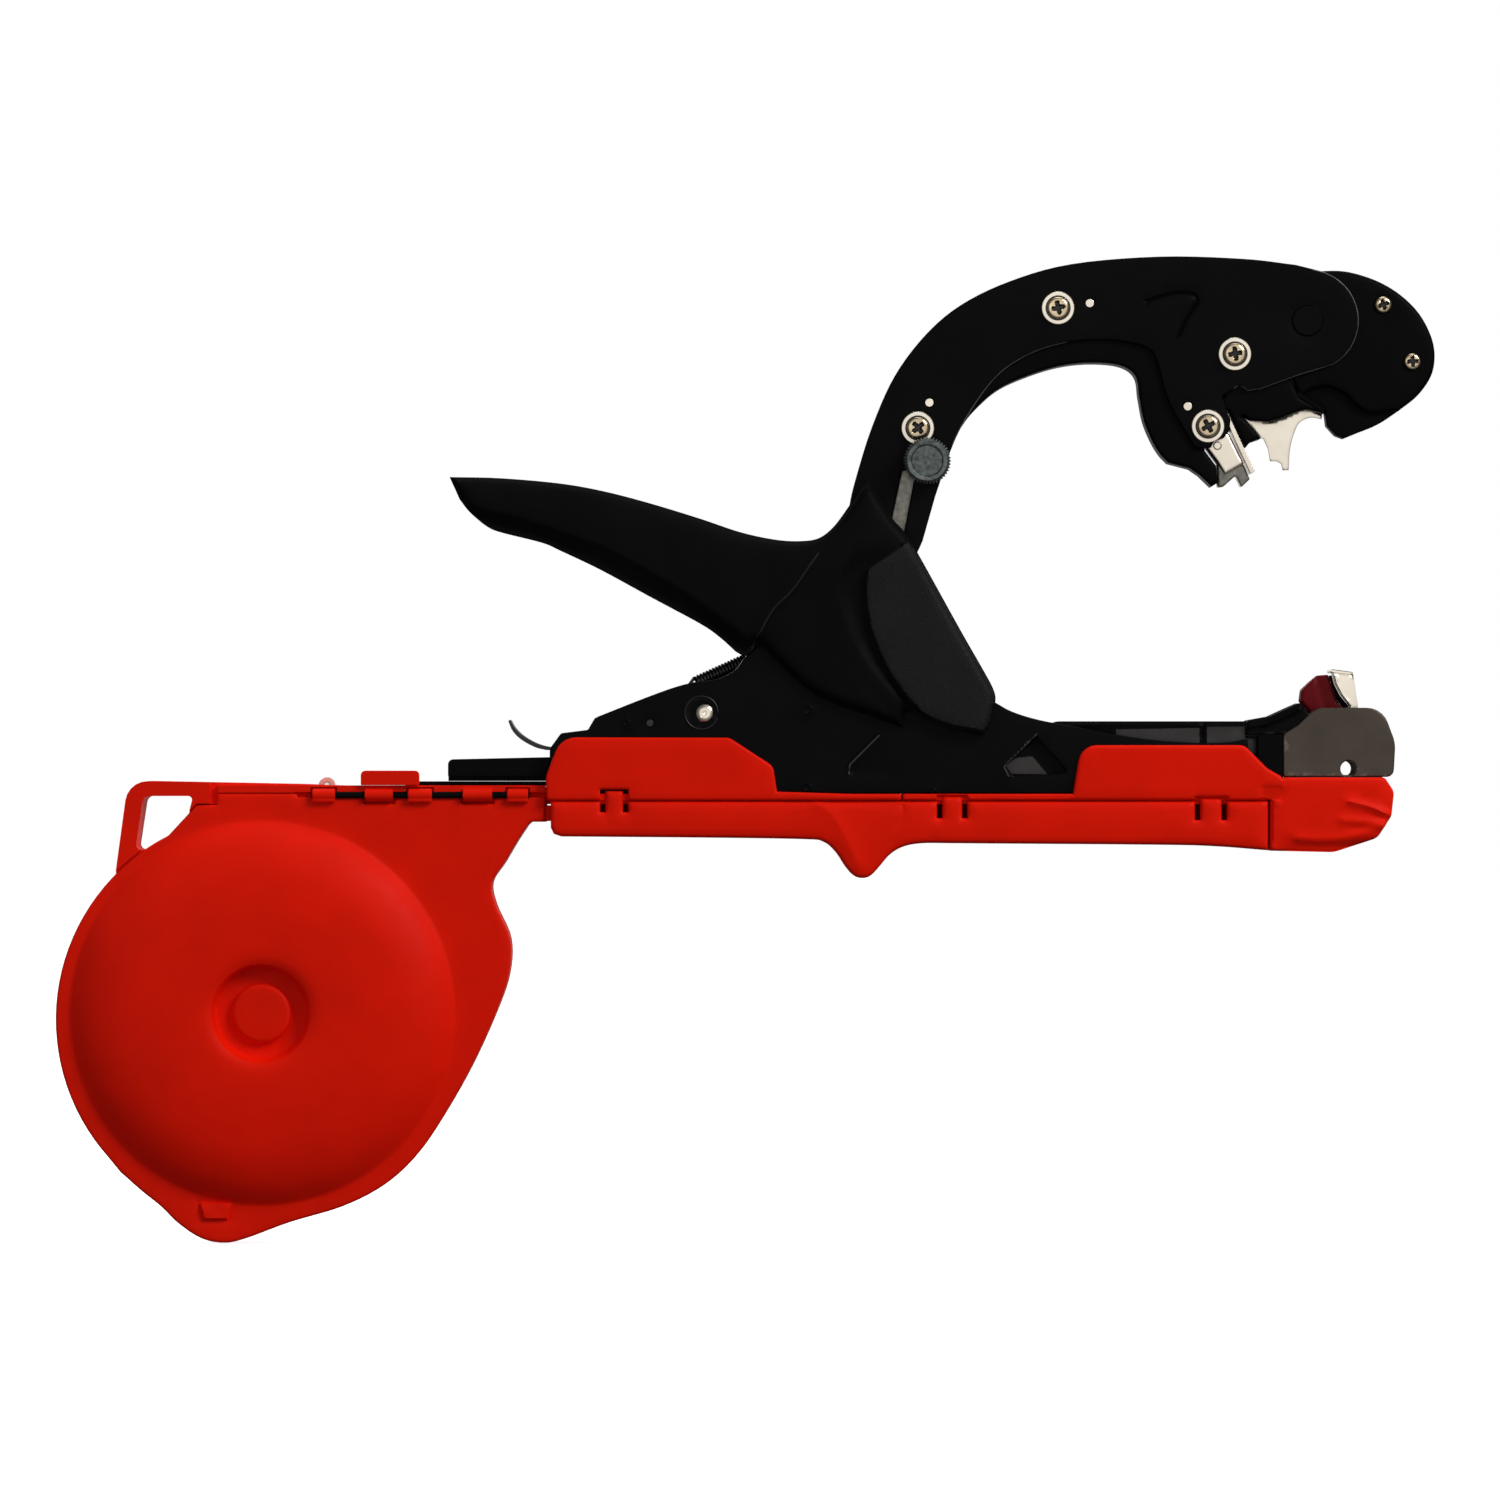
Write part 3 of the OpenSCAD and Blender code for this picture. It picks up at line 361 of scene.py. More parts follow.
def settle(o, body, stands_for=()):
    """Puts a finished piece on its body, in place of the nodes that it stands for."""
    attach(o, body)
    if stands_for:
        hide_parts(*([stands_for] if isinstance(stands_for, str) else stands_for))
    return o


def joined(name, parts, finish, body, stands_for=()):
    """Several parts as one piece."""
    bm = bmesh.new()
    for o in parts:
        bm.from_mesh(o.data)
    mesh = bpy.data.meshes.new(name)
    bm.to_mesh(mesh)
    bm.free()
    for o in parts:
        old = o.data
        bpy.data.objects.remove(o)
        bpy.data.meshes.remove(old)
    for m in finishes(finish):
        mesh.materials.append(m)
    shade(mesh, SHARP)
    o = bpy.data.objects.new(name, mesh)
    scene.collection.objects.link(o)
    return settle(o, body, stands_for)


def fillet(d, r):
    """How far a rounded edge of radius r falls back at distance d from the rim."""
    return np.where(d < r, r - np.sqrt(np.maximum(0, r * r - (r - d) ** 2)), 0) if r > 0 else 0 * d


def moulding(name, loops, y0, y1, r0=0.5, r1=0.5, relief0=None, relief1=None, grid=2.0, step=1.2,
             lines=(), finish=RED, body=None, stands_for=(), area=None):
    """A slab between y0 and y1 with rounded rims of radius r0 and r1, meshed about every grid mm.

    relief(x, z, d) raises a face, in mm, where d is the distance from the rim. lines are (line, offsets,
    spacing) along which the mesh is finer. area picks each face's finish.
    """
    loops = [denser(np.array(p, float), step) for p in loops]
    rim = np.vstack(loops)
    starts = np.cumsum([0] + [len(p) for p in loops])
    edges = [(s + i, s + (i + 1) % len(p)) for s, p in zip(starts, loops) for i in range(len(p))]

    def rim_distance(q):
        best = np.full(len(q), 1e9)
        for p in loops:
            best = np.minimum(best, to_line(q, p)[0])
        return best

    r = max(r0, r1)
    angles = [45, 90] if r < 0.45 else [30, 60, 90] if r < 1.6 else [22.5, 45, 67.5, 90]
    insets = [r * (1 - math.cos(math.radians(a))) for a in angles] if r > 0 else []
    points, cells = [rim], set()

    def take(q, d_wanted, cell, slack):
        q = q[inside(q, loops)]
        if not len(q):
            return
        q = q[rim_distance(q) > d_wanted - slack]
        chosen = []
        for x, z in q:
            key = (cell, round(x / cell), round(z / cell))
            if key not in cells:
                cells.add(key)
                chosen.append((x, z))
        if chosen:
            points.append(np.array(chosen))

    for line, offsets, spacing in lines:
        line = denser(np.array(line, float), spacing, closed=False)
        t = np.gradient(line, axis=0)
        t /= np.maximum(np.linalg.norm(t, axis=1), 1e-9)[:, None]
        n = np.stack([-t[:, 1], t[:, 0]], 1)
        for off in offsets:
            take(line + n * off, r * 1.05, 0.12, 0)
    busy = np.vstack(points[1:]) if len(points) > 1 else None
    for d in insets:
        inset = []
        for p in loops:
            a, b = p - np.roll(p, 1, 0), np.roll(p, -1, 0) - p
            a /= np.maximum(np.linalg.norm(a, axis=1), 1e-9)[:, None]
            b /= np.maximum(np.linalg.norm(b, axis=1), 1e-9)[:, None]
            n = np.stack([-(a + b)[:, 1], (a + b)[:, 0]], 1)
            n /= np.maximum(np.linalg.norm(n, axis=1), 1e-9)[:, None]
            inset += [p + n * d, p - n * d]
        take(np.vstack(inset), d, max(0.05, 0.5 * d), 0.08 * d)
    low, high = rim.min(0), rim.max(0)
    rows = np.arange(low[1], high[1], grid * 0.866)
    mesh_points = np.array([(x + (grid / 2 if k % 2 else 0), z) for k, z in enumerate(rows)
                            for x in np.arange(low[0], high[0] + grid, grid)])
    if busy is not None and len(mesh_points):
        near = np.zeros(len(mesh_points), bool)
        for s in range(0, len(busy), 400):
            gap = mesh_points[:, None, :] - busy[None, s:s + 400]
            near |= ((gap ** 2).sum(2) < (0.45 * grid) ** 2).any(1)
        mesh_points = mesh_points[~near]
    take(mesh_points, r + 0.35 * grid, 0.01, 0)
    every = np.vstack(points)
    verts, _, faces, _, _, _ = geometry.delaunay_2d_cdt([Vector(p) for p in every], edges, [], 0, 1e-5)
    v = np.array([tuple(q) for q in verts])
    f = np.array([tuple(q) for q in faces])
    f = f[inside(v[f].mean(1), loops)]
    a, b, c = v[f[:, 0]], v[f[:, 1]], v[f[:, 2]]
    area2 = (b[:, 0] - a[:, 0]) * (c[:, 1] - a[:, 1]) - (b[:, 1] - a[:, 1]) * (c[:, 0] - a[:, 0])
    f = np.where((area2 < 0)[:, None], f[:, ::-1], f)[np.abs(area2) > 1e-9]
    used = np.unique(f)
    index = np.full(len(v), -1)
    index[used] = np.arange(len(used))
    v, f = v[used], index[f]
    d = rim_distance(v)
    d[d < 1e-4] = 0
    up0 = y0 + fillet(d, r0) - (relief0(v[:, 0], v[:, 1], d) if relief0 else 0)
    up1 = y1 - fillet(d, r1) + (relief1(v[:, 0], v[:, 1], d) if relief1 else 0)
    n = len(v)
    verts3 = [(x, y, z) for (x, z), y in zip(v, up0)] + [(x, y, z) for (x, z), y in zip(v, up1)]
    directed = {}
    for t in f.tolist():
        for i in range(3):
            directed[(t[i], t[(i + 1) % 3])] = True
    sides = [(p, p + n, q + n, q) for p, q in directed if (q, p) not in directed]
    faces3 = [tuple(t) for t in f.tolist()] + [(t[2] + n, t[1] + n, t[0] + n) for t in f.tolist()] + sides
    kinds = None
    if area:
        flags = area(v[f].mean(1)).astype(int).tolist()
        kinds = flags + flags + [0] * len(sides)
    return piece(name, verts3, faces3, finish, body, stands_for, areas=kinds, clean=False)


def pair(loops, near, far, r_out, r_in, relief=None, far_loops=None, **more):
    """Two mouldings mirrored about the mid-plane, between the half-widths near and far."""
    return [moulding("side", loops, -far, -near, r_out, r_in, relief, **more),
            moulding("side", far_loops or loops, near, far, r_in, r_out, None, relief, **more)]


def slab(x, y, z, finish, r0=0.0, r1=None, grid=6, step=3):
    """A rounded filler between (low, high) spans in mm, used inside larger pieces."""
    loop = np.array([(x[0], z[0]), (x[1], z[0]), (x[1], z[1]), (x[0], z[1])])
    return moulding("slab", [loop], *y, r0, r0 if r1 is None else r1, grid=grid, step=step, finish=finish)


def lathe(profile, at, n=64, wobble=None):
    """Points and faces of [(r, y), ...] turned about a Y axis. wobble(r, y, angle) shifts a point."""
    verts, faces = [], []
    k = len(profile)
    for i in range(n):
        t = 2 * math.pi * i / n
        for r, y in profile:
            if wobble:
                r, y = wobble(r, y, t)
            verts.append((at[0] + r * math.cos(t), y, at[1] + r * math.sin(t)))
    for i in range(n):
        for j in range(k - 1):
            a, b = i * k + j, (i + 1) % n * k + j
            faces.append((a, b, b + 1, a + 1))
    return verts, faces


def turned(profile, at, finish, n=64):
    return piece("turned", *lathe(profile, at, n), finish)


def tube(path, r, sides):
    """Points and faces of a round wire of radius r along a path, all in mm."""
    path = [Vector(p) for p in path]
    verts, faces = [], []
    frame_up = Vector((0, 1, 0.001)).normalized()
    for i, p in enumerate(path):
        t = (path[min(i + 1, len(path) - 1)] - path[max(i - 1, 0)]).normalized()
        u = (frame_up - t * frame_up.dot(t)).normalized()
        w = t.cross(u)
        frame_up = u
        for s in range(sides):
            a = 2 * math.pi * s / sides
            verts.append(tuple(p + (u * math.cos(a) + w * math.sin(a)) * r))
    for i in range(len(path) - 1):
        for s in range(sides):
            a, b = i * sides + s, i * sides + (s + 1) % sides
            faces.append((a, b, b + sides, a + sides))
    faces.append(tuple(range(sides))[::-1])
    faces.append(tuple(range(len(verts) - sides, len(verts))))
    return verts, faces


def barrels(spans, at, r=1.7, sides=24, blunt=0.86):
    """Hinge barrels along X, a little narrower at their very ends."""
    out = []
    for a, b in spans:
        v, f = tube([(x, *at) for x in (a, a + 0.3, b - 0.3, b)], r, sides)
        for i in [*range(sides), *range(3 * sides, 4 * sides)]:
            c = Vector((v[i][0], *at))
            v[i] = tuple(c + (Vector(v[i]) - c) * blunt)
        out.append(piece("barrel", v, f, RED, clean=False))
    return out


# ---------------------------------------------------------------- dressing CAD nodes


def soft_shading():
    """A modifier group that shades smooth except across edges sharper than 35 degrees."""
    group = bpy.data.node_groups.new("smooth_by_angle", "GeometryNodeTree")
    group.interface.new_socket("Geometry", in_out="INPUT", socket_type="NodeSocketGeometry")
    group.interface.new_socket("Geometry", in_out="OUTPUT", socket_type="NodeSocketGeometry")
    add, link = group.nodes.new, group.links.new
    first, last = add("NodeGroupInput"), add("NodeGroupOutput")
    faces, edges = add("GeometryNodeSetShadeSmooth"), add("GeometryNodeSetShadeSmooth")
    edges.domain = "EDGE"
    angle, test = add("GeometryNodeInputMeshEdgeAngle"), add("FunctionNodeCompare")
    test.data_type, test.operation = "FLOAT", "LESS_THAN"
    test.inputs[1].default_value = math.radians(35)
    link(first.outputs[0], faces.inputs["Geometry"])
    link(faces.outputs[0], edges.inputs["Geometry"])
    link(angle.outputs[0], test.inputs[0])
    link(test.outputs[0], edges.inputs["Shade Smooth"])
    link(edges.outputs[0], last.inputs[0])
    return group


SOFT = soft_shading()


BEVEL = 0.25  # mm


def dress(name):
    """Gives a CAD node its finish, and breaks its sharp edges as real ones are broken."""
    o = NODES[name]
    if "custom_normal" in o.data.attributes:
        o.data.attributes.remove(o.data.attributes["custom_normal"])
    o.data.materials.clear()
    o.data.materials.append(FINISH[name])
    o.modifiers.new("weld", "WELD").merge_threshold = WELD
    flat = o.modifiers.new("flat", "DECIMATE")
    flat.decimate_type = "DISSOLVE"
    flat.angle_limit = math.radians(0.5)
    b = o.modifiers.new("bevel", "BEVEL")
    b.width = BEVEL * MM
    b.segments = 2
    b.limit_method = "ANGLE"
    b.angle_limit = math.radians(32)
    b.use_clamp_overlap = True
    b.harden_normals = False
    o.modifiers.new("shade", "NODES").node_group = SOFT
    w = o.modifiers.new("weighted", "WEIGHTED_NORMAL")
    w.weight = 90
    w.keep_sharp = True


for n in NODES:
    dress(n)

# ---------------------------------------------------------------- hand lever

LEVER_IN, LEVER_OUT, LEVER_ROUND, LEVER_SINK = 10.3, 13.3, 2.4, 2.85
band = smooth([(-66, 57.5), (-61, 55.1), (-47.3, 51.6), (-31.6, 46.2), (-22.7, 42.3), (-13.9, 37.4),
               (-3.2, 31), (7.5, 23.2), (12.8, 19.5), (16, 16.5)])
crease = smooth([(31, 43.5), (28.5, 40.1), (23.5, 32.9), (18.2, 27.5), (14.2, 20.4), (12.5, 17)])
gutter = smooth([(38.5, 42.5), (36.1, 37.3), (35.6, 32), (37.4, 24.9), (40.5, 17.7), (45, 10.6), (49.5, 5.3),
                 (53.9, 0)])
panel = section("hand_lever", -13.7)[0]
panel = panel[panel[:, 1] < 39.5 + 0.58 * (panel[:, 0] - 43.4)]
facet = np.array([(41.9, 7.6), (46, 3.2), (50.3, -2.6), (44.1, -0.7), (37, 2)])


def lever_relief(x, z, d):
    q = np.stack([x, z], 1)
    f = -1.3 * np.exp(-d / 3.2)
    gap, side = to_line(q, band, False)
    f -= 1.9 * np.tanh(np.where(side < 0, gap, 0) / 3)
    gap, side = to_line(q, crease, False)
    f += ramp(z, 17, 21) * ramp(-z, -45, -38) * 0.55 * np.where(side < 0, np.exp(-gap / 6), np.where(
        side > 0, 1 - ramp(gap, 0, 0.7), 1))
    gap, side = to_line(q, gutter, False)
    f -= np.where(side > 0, 1.5 * ramp(gap, 0, 2.5), 0) * ramp(x, 33, 36) * (1 - ramp(z, 38, 46))
    edge, _ = to_line(q, panel)
    f = np.where(inside(q, [panel]), 0.7 - 0.9 * fillet(edge, 0.8) - 0.35 * np.exp(-d / 1.2),
                 f + 0.2 * np.exp(-edge / 0.25))
    edge, _ = to_line(q, facet)
    f += np.where(inside(q, [facet]), 0.5 * ramp(edge, 0, 0.8), 0)
    return np.maximum(f, fillet(d, LEVER_ROUND) - LEVER_SINK)


outline = section("hand_lever", -13.1)[:1]
lever_lines = [(band, (-0.8, 0, 0.8), 1.1), (crease, (-0.7, -0.24, 0.24, 0.8), 0.6),
               (gutter, (-0.6, 0.6), 1.2), (looped(panel), (-0.7, -0.3, -0.02, 0.02, 0.35, 0.8), 0.9)]


def lever_areas(c):
    """1 on the grained panel, 2 on the crease in front of the grip, a line of painted highlight."""
    return np.where(inside(c, [panel]), 1, np.where(gap_to(*c.T, crease[2:]) < 0.26, 2, 0))


LEVER_LOOK = [LEVER, PANEL, LEVER_CREASE_HIGHLIGHT]
walls = pair(outline, LEVER_IN, LEVER_OUT, LEVER_ROUND, 0.0, lever_relief, grid=1.5, step=1.0,
             lines=lever_lines, area=lever_areas, finish=LEVER_LOOK)
web = moulding("web", section("hand_lever", 0)[:1], -LEVER_IN - 0.05, LEVER_IN + 0.05, 0, 0, grid=4,
               finish=LEVER)
joined("lever_body", [*walls, web], LEVER_LOOK, "lever", "hand_lever")

# ---------------------------------------------------------------- cassette door

ROLL_AT = (-118.4, -80.2)
DOOR_FACE, DOOR_BACK, HINGE = -7.7, -6.1, (-8.0, -21.9)
dome_out = np.vstack([
    [(0, 4.1), (6.6, 4.1), (7.2, 4.0), (7.7, 3.6), (8.0, 2.3), (8.6, 1.9), (11.3, 1.9)],
    smooth([(12.1, 2.0), (12.4, 3.4), (12.8, 5.9), (13.6, 7.1), (16.4, 7.7), (24, 7.8), (30, 7.6), (38, 6.7),
            (43.5, 5.1), (47.4, 3.2), (50, 1.2)]),
    [(51.3, 0.1), (52, 0), (200, 0)]])
dome_in = np.array([(0, 1.9), (14, 1.9), (15.6, 5.7), (17, 6.9), (20, 7.4), (30, 7.2), (37.5, 6.2),
                    (42.6, 4.8), (46.6, 3), (48.4, 1), (49.6, 0), (200, 0)])
latch = np.array([(-135.6, -130.6), (-126, -130.6), (-127.6, -135.6), (-134, -135.6)])


def from_roll(x, z):
    """Distance from the middle of the roll."""
    return np.hypot(x - ROLL_AT[0], z - ROLL_AT[1])


def door_relief(x, z, d):
    q = np.stack([x, z], 1)
    gap, _ = to_line(q, latch)
    raised = 1.1 * ramp(gap, 0, 0.7) - 0.5 * ramp(z, -132.6, -130.8)
    return (np.interp(from_roll(x, z), *dome_out.T)
            + np.where(inside(q, [latch]), raised, -0.45 * np.exp(-gap / 0.5)))


door_lines = [(looped(circle(ROLL_AT, r, 120)), (0,), 1.2) for r in (
    1.5, 4, 6.6, 7.2, 7.7, 8.0, 8.6, 10, 11.3, 11.9, 12.3, 12.7, 13.2, 14.2, 15.6, 17.4, 43, 45.4, 47.4, 49,
    50, 50.8, 51.3, 52)]
door_lines.append((looped(latch), (-0.6, -0.15, 0.15, 0.6), 0.6))
door = [moulding("shell", section("cassette_door", -6.5)[:1], DOOR_FACE, DOOR_BACK, 0.7, 0.15, door_relief,
                 lambda x, z, d: -np.interp(from_roll(x, z), *dome_in.T), grid=2.2, lines=door_lines)]
for span in ((-105, -98.9), (-79.4, -73), (-52.9, -47.3)):
    door += barrels([span], HINGE)
    door.append(slab(span, (HINGE[0] - 1.4, HINGE[0] + 0.5), (-23.8, -22.2), RED, 0.4, 0.1, grid=3, step=1.2))
joined("cassette_door_shell", door, RED, "door", "cassette_door")

# ---------------------------------------------------------------- jaw arm

hook_rib = smooth([(118.3, 110.1), (120.4, 110.9), (124.3, 112), (128.3, 112.3), (131, 111.7), (131.7, 109.9),
                   (130.6, 108.2), (128.3, 104.5), (127.4, 102.4), (127, 101.2)])
BOSS_AT, BOSS_R = (161.2, 105), 4.6


def arm_relief(x, z, d):
    gap = gap_to(x, z, hook_rib)
    return (0.16 * bell(gap - 0.9, 0.5) - 0.5 * bell(gap, 0.42)
            - 0.25 * bell(np.hypot(x - BOSS_AT[0], z - BOSS_AT[1]) - BOSS_R, 0.4))


plate = section("arm_plate_near", -6.8)
inner_edge = np.array([(64, 74), (70.8, 82.3), (77.5, 89), (84.2, 93.7), (93.6, 98.4)])
end_edge = np.array([(165.7, 118.4), (172.4, 111.7), (175.1, 103.7), (172.4, 97), (165.7, 92.4),
                     (144.3, 86.3)])


def painted_rim_highlight(c):
    """The stretches of the plates' rims that carry a painted highlight in a lighter grey."""
    rim = np.min([to_line(c, p)[0] for p in plate], 0)
    return (rim < 0.2) & (np.minimum(gap_to(*c.T, inner_edge), gap_to(*c.T, end_edge)) < 3)


look = [BLACK_STEEL, RIM_HIGHLIGHT]
joined("arm_plates", pair(plate, 6.1, 7.5, 0.5, 0.1, arm_relief, grid=3.2, step=1.0, area=painted_rim_highlight,
                          finish=look, lines=[(hook_rib, (-0.9, -0.4, 0, 0.4, 0.9), 0.5),
                                              (looped(circle(BOSS_AT, BOSS_R)), (-0.3, 0, 0.3), 0.5)]),
       look, "jaw_arm", ("arm_plate_near", "arm_plate_far"))
web = [moulding("web", section("arm_core", at), y0, y1, r0, r1, grid=4, step=1.2, finish=BLACK_PLASTIC)
       for at, y0, y1, r0, r1 in ((-5, -6.08, -3.98, 1.0, 0), (-3, -4, -0.75, 0, 0), (0, -0.77, 0.77, 0, 0),
                                  (3, 0.75, 6.08, 0, 1.0))]
lip = np.array([(158.4, 85), (165.4, 80.5), (166, 81.4), (159, 85.9)])
web += [moulding("lip", [lip], y, y + 0.1, 0, 0, grid=2, step=1, finish=BLACK_PLASTIC) for y in (-6.07, 5.97)]
joined("arm_web", web, BLACK_PLASTIC, "jaw_arm", "arm_core")

# ---------------------------------------------------------------- nose guard

cheeks = pair(section("nose_guard", -5), 3.6, 5.95, 1.1, 0, lambda x, z, d: -0.25 * np.exp(-d / 2.5),
              grid=2.5, step=0.8, finish=BLACK_PLASTIC)
joined("guard_cheeks", cheeks, BLACK_PLASTIC, "guard", "nose_guard")
moulding("guard_core", section("nose_guard", -2), -3.62, 3.62, 0.5, 0.5, grid=3, step=0.8,
         finish=BLACK_PLASTIC, body="guard")

# ---------------------------------------------------------------- screws and washers

# x, z and the turn of the cross in degrees
SCREWS = [(94.4, 108.3, 14), (56.9, 76.2, 40), (141.7, 96, 8), (134.5, 76.7, 30)]
GUARD_SCREWS = [(181.5, 109.3, 22), (189.3, 94.1, 5)]
ARM_HEAD = dict(face=8.75, r=3.0, high=0.85, wide=0.95, long=1.9, deep=0.95)
GUARD_HEAD = dict(face=5.85, r=2.3, high=0.9, wide=0.8, long=1.5, deep=0.8)
DOME = 0.5


def screw(at, turn, side, face, r, high, wide, long, deep):
    """A domed head with a cross recess turned by turn degrees, standing on the plane y = side * face."""
    c, s = math.cos(math.radians(turn)), math.sin(math.radians(turn))

    def dome(x, z):
        return DOME * (1 - (np.hypot(x - at[0], z - at[1]) / r) ** 2)

    def relief(x, z, d):
        u, w = (x - at[0]) * c + (z - at[1]) * s, -(x - at[0]) * s + (z - at[1]) * c
        slots = [(1 - ramp(np.abs(a), wide * 0.35, wide * 0.62)) * (1 - ramp(np.abs(b), long * 0.8, long))
                 for a, b in ((u, w), (w, u))]
        return dome(x, z) - deep * np.maximum(*slots)

    def cross(q):
        """The faces in the cross, painted in dark steel as the shade that fills it."""
        return relief(*q.T, 0) < dome(*q.T) - 0.3 * deep

    more = dict(grid=0.3, step=0.4, finish=[GILT, SPRING], area=cross)
    loop = [circle(at, r, 40)]
    if side < 0:
        return moulding("screw", loop, -face - high, -face, 0.6, 0.05, relief, **more)
    return moulding("screw", loop, face, face + high, 0.05, 0.6, None, relief, **more)


def ring(at, inner, outer, y0, y1, edge=0.18):
    """A washer as a lathe shape."""
    low, high = sorted((y0, y1))
    return turned([(inner, low + edge), (inner + edge, low), (outer - edge, low), (outer, low + edge),
                   (outer, high - edge), (outer - edge, high), (inner + edge, high), (inner, high - edge),
                   (inner, low + edge)], at, BRIGHT, 48)


heads, washers, spring_washers = [], [], []
for x, z, turn in SCREWS:
    for side in (-1, 1):
        heads.append(screw((x, z), turn, side, **ARM_HEAD))
        washers.append(ring((x, z), 2.2, 4.4, side * 7.5, side * 8.05))
        spring_washers.append(ring((x, z), 2.0, 3.35, side * 8.07, side * 8.75, 0.12))
joined("arm_screw_heads", heads, [GILT, SPRING], "jaw_arm", "arm_screws")
joined("arm_flat_washers", washers, BRIGHT, "jaw_arm", "arm_washers")
joined("arm_spring_washers", spring_washers, SPRING, "jaw_arm")
heads = []
for x, z, turn in GUARD_SCREWS:
    heads.append(screw((x, z), turn, -1, **GUARD_HEAD))
    heads.append(turned([(0, -5.9), (1.2, -5.9), (1.2, 5.95), (0.9, 6.2), (0, 6.2)], (x, z), BRIGHT, 24))
joined("guard_screw_heads", heads, [GILT, SPRING], "guard", "guard_screws")

# ---------------------------------------------------------------- knurled knob

KNOB_AT, KNOB_FACE, TEETH = (59.3, 67.3), -13.5, 44
knob = [(r, KNOB_FACE + y) for r, y in (
    (0, 0.5), (4.0, 0.5), (4.3, 0.12), (4.6, 0), (5.3, 0), (5.7, 0.35), (6.1, 0.8), (6.1, 1.2), (6.1, 2.6),
    (6.1, 3.0), (5.6, 3.4), (4.6, 3.45), (4.6, 5.1), (2.1, 5.2), (2.1, 5.1))]


def knurl(r, y, t):
    """Slanted teeth round the rim, shallower on its two chamfers."""
    up = y - KNOB_FACE
    return (r + 0.3 * math.cos(TEETH * t + 0.18 * up) * (1 if 1.1 < up < 2.7 else 0.6) if r > 6 else r), y


piece("knurled_knob", *lathe(knob, KNOB_AT, TEETH * 6, knurl), ZINC, "knob", "adjuster_knob", sharp=24)

# ---------------------------------------------------------------- springs


def coil_spring(name, a, b, r, wire, turns, body, node, ends=(), per_turn=20):
    """A coil from a to b and its two straight ends, as (x, z) on the plane y = 0."""
    a, b, *ends = (Vector((x, 0, z)) for x, z in (a, b, *ends))
    up = Vector((0, 1, 0))
    u = (b - a).normalized().cross(up).normalized()
    n = int(turns * per_turn)
    coil = [a + (b - a) * (i / n) + (u * math.cos(2 * math.pi * i / per_turn)
                                     + up * math.sin(2 * math.pi * i / per_turn)) * r for i in range(n + 1)]
    piece(name, *tube(ends[:1] + coil + ends[1:], wire, 8), SPRING, body, node, sharp=60, clean=False)


coil_spring("return_coil", (-2.2, 8.0), (10.2, 13.6), 1.68, 0.45, 15, "frame", "return_spring",
            ends=((-4.9, 6.8), (12.1, 14.3)))
low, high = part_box("pusher_spring")
mid_z = (low.z + high.z) / 2 / MM
coil_spring("pusher_coil", (low.x / MM + 0.5, mid_z), (high.x / MM - 0.5, mid_z),
            (high.z - low.z) / 2 / MM - 0.35, 0.3, 16, "loader", "pusher_spring")

# ---------------------------------------------------------------- clincher and catch plate

look = [BRIGHT, DULL_STEEL]
anvil = moulding("anvil", section("clincher", -4.2)[:1], -4.6, 4.6, 1.0, 1.0, grid=1.2, step=0.5,
                 finish=BRIGHT)
hook = moulding("hook", section("clincher", -2.5)[:1], -3.4, 3.4, 0.6, 0.6, grid=1.2, step=0.5, finish=look,
                area=lambda c: np.ones(len(c)))
pin = turned([(0, -5.15), (0.85, -5.15), (1.15, -4.9), (1.15, 4.9), (0.85, 5.15), (0, 5.15)], (137.2, 71.6),
             BRIGHT, 28)
joined("clincher_block", [anvil, hook, pin], look, "jaw_arm", "clincher")
moulding("catch_blade", section("catch_plate", 0), -0.7, 0.7, 0.4, 0.4, grid=1.0, step=0.4, finish=BRIGHT,
         body="jaw_arm", stands_for="catch_plate")

# ---------------------------------------------------------------- red covers

COVER_IN, WALL_MID, COVER_OUT, CHANNEL = 9.6, 10.35, 11.1, 9.3
AXIS = (13.0, -23.4)
FRAME_STRAP, COVER_STRAP = (10.9, (-23.2, -21.9)), (10.4, (-25.0, -23.9))


def cover(node, inner, r_out, grid, step, web_step, relief=None, lines=()):
    """The two walls of a red cover and the web between them."""
    walls = pair(section(node, -WALL_MID), inner, COVER_OUT, r_out, 0.0, relief, section(node, WALL_MID),
                 grid=grid, step=step, lines=lines)
    web_half = inner + 0.02
    return [*walls, moulding("web", section(node, 0), -web_half, web_half, 0, 0, grid=5, step=web_step)]


def hinge(spans, y, z):
    """Barrels on the tape cover's axis and the straps that carry them."""
    return barrels(spans, AXIS) + [slab(span, (y, AXIS[0]), z, RED, 0.25) for span in spans]


def seam(x):
    """Fillers behind the seam of the tape channel."""
    return [slab(x, (y, y + 0.6), (-24.3, -22.8), RED, 0.05) for y in (-9, 8.4)]


rear = cover("rear_cover", COVER_IN, r_out=0.7, grid=3, step=0.9, web_step=3)
rear += hinge([(-32, -20.4)], *FRAME_STRAP) + seam((-41.5, 52.4))
rear.append(slab((-43.4, -41.2), (-4, 4), (-24.4, -22.4), RED, 0.1))
joined("rear_side_cover", rear, RED, "frame", "rear_cover")

nose_lines = [smooth([(172, -23.6), (178, -25.2), (183.4, -27.6)]),
              smooth([(158, -33.4), (165, -33.9), (172, -33.2), (181, -30.2)]),
              smooth([(170, -28.6), (177, -29.2), (182.6, -30)])]


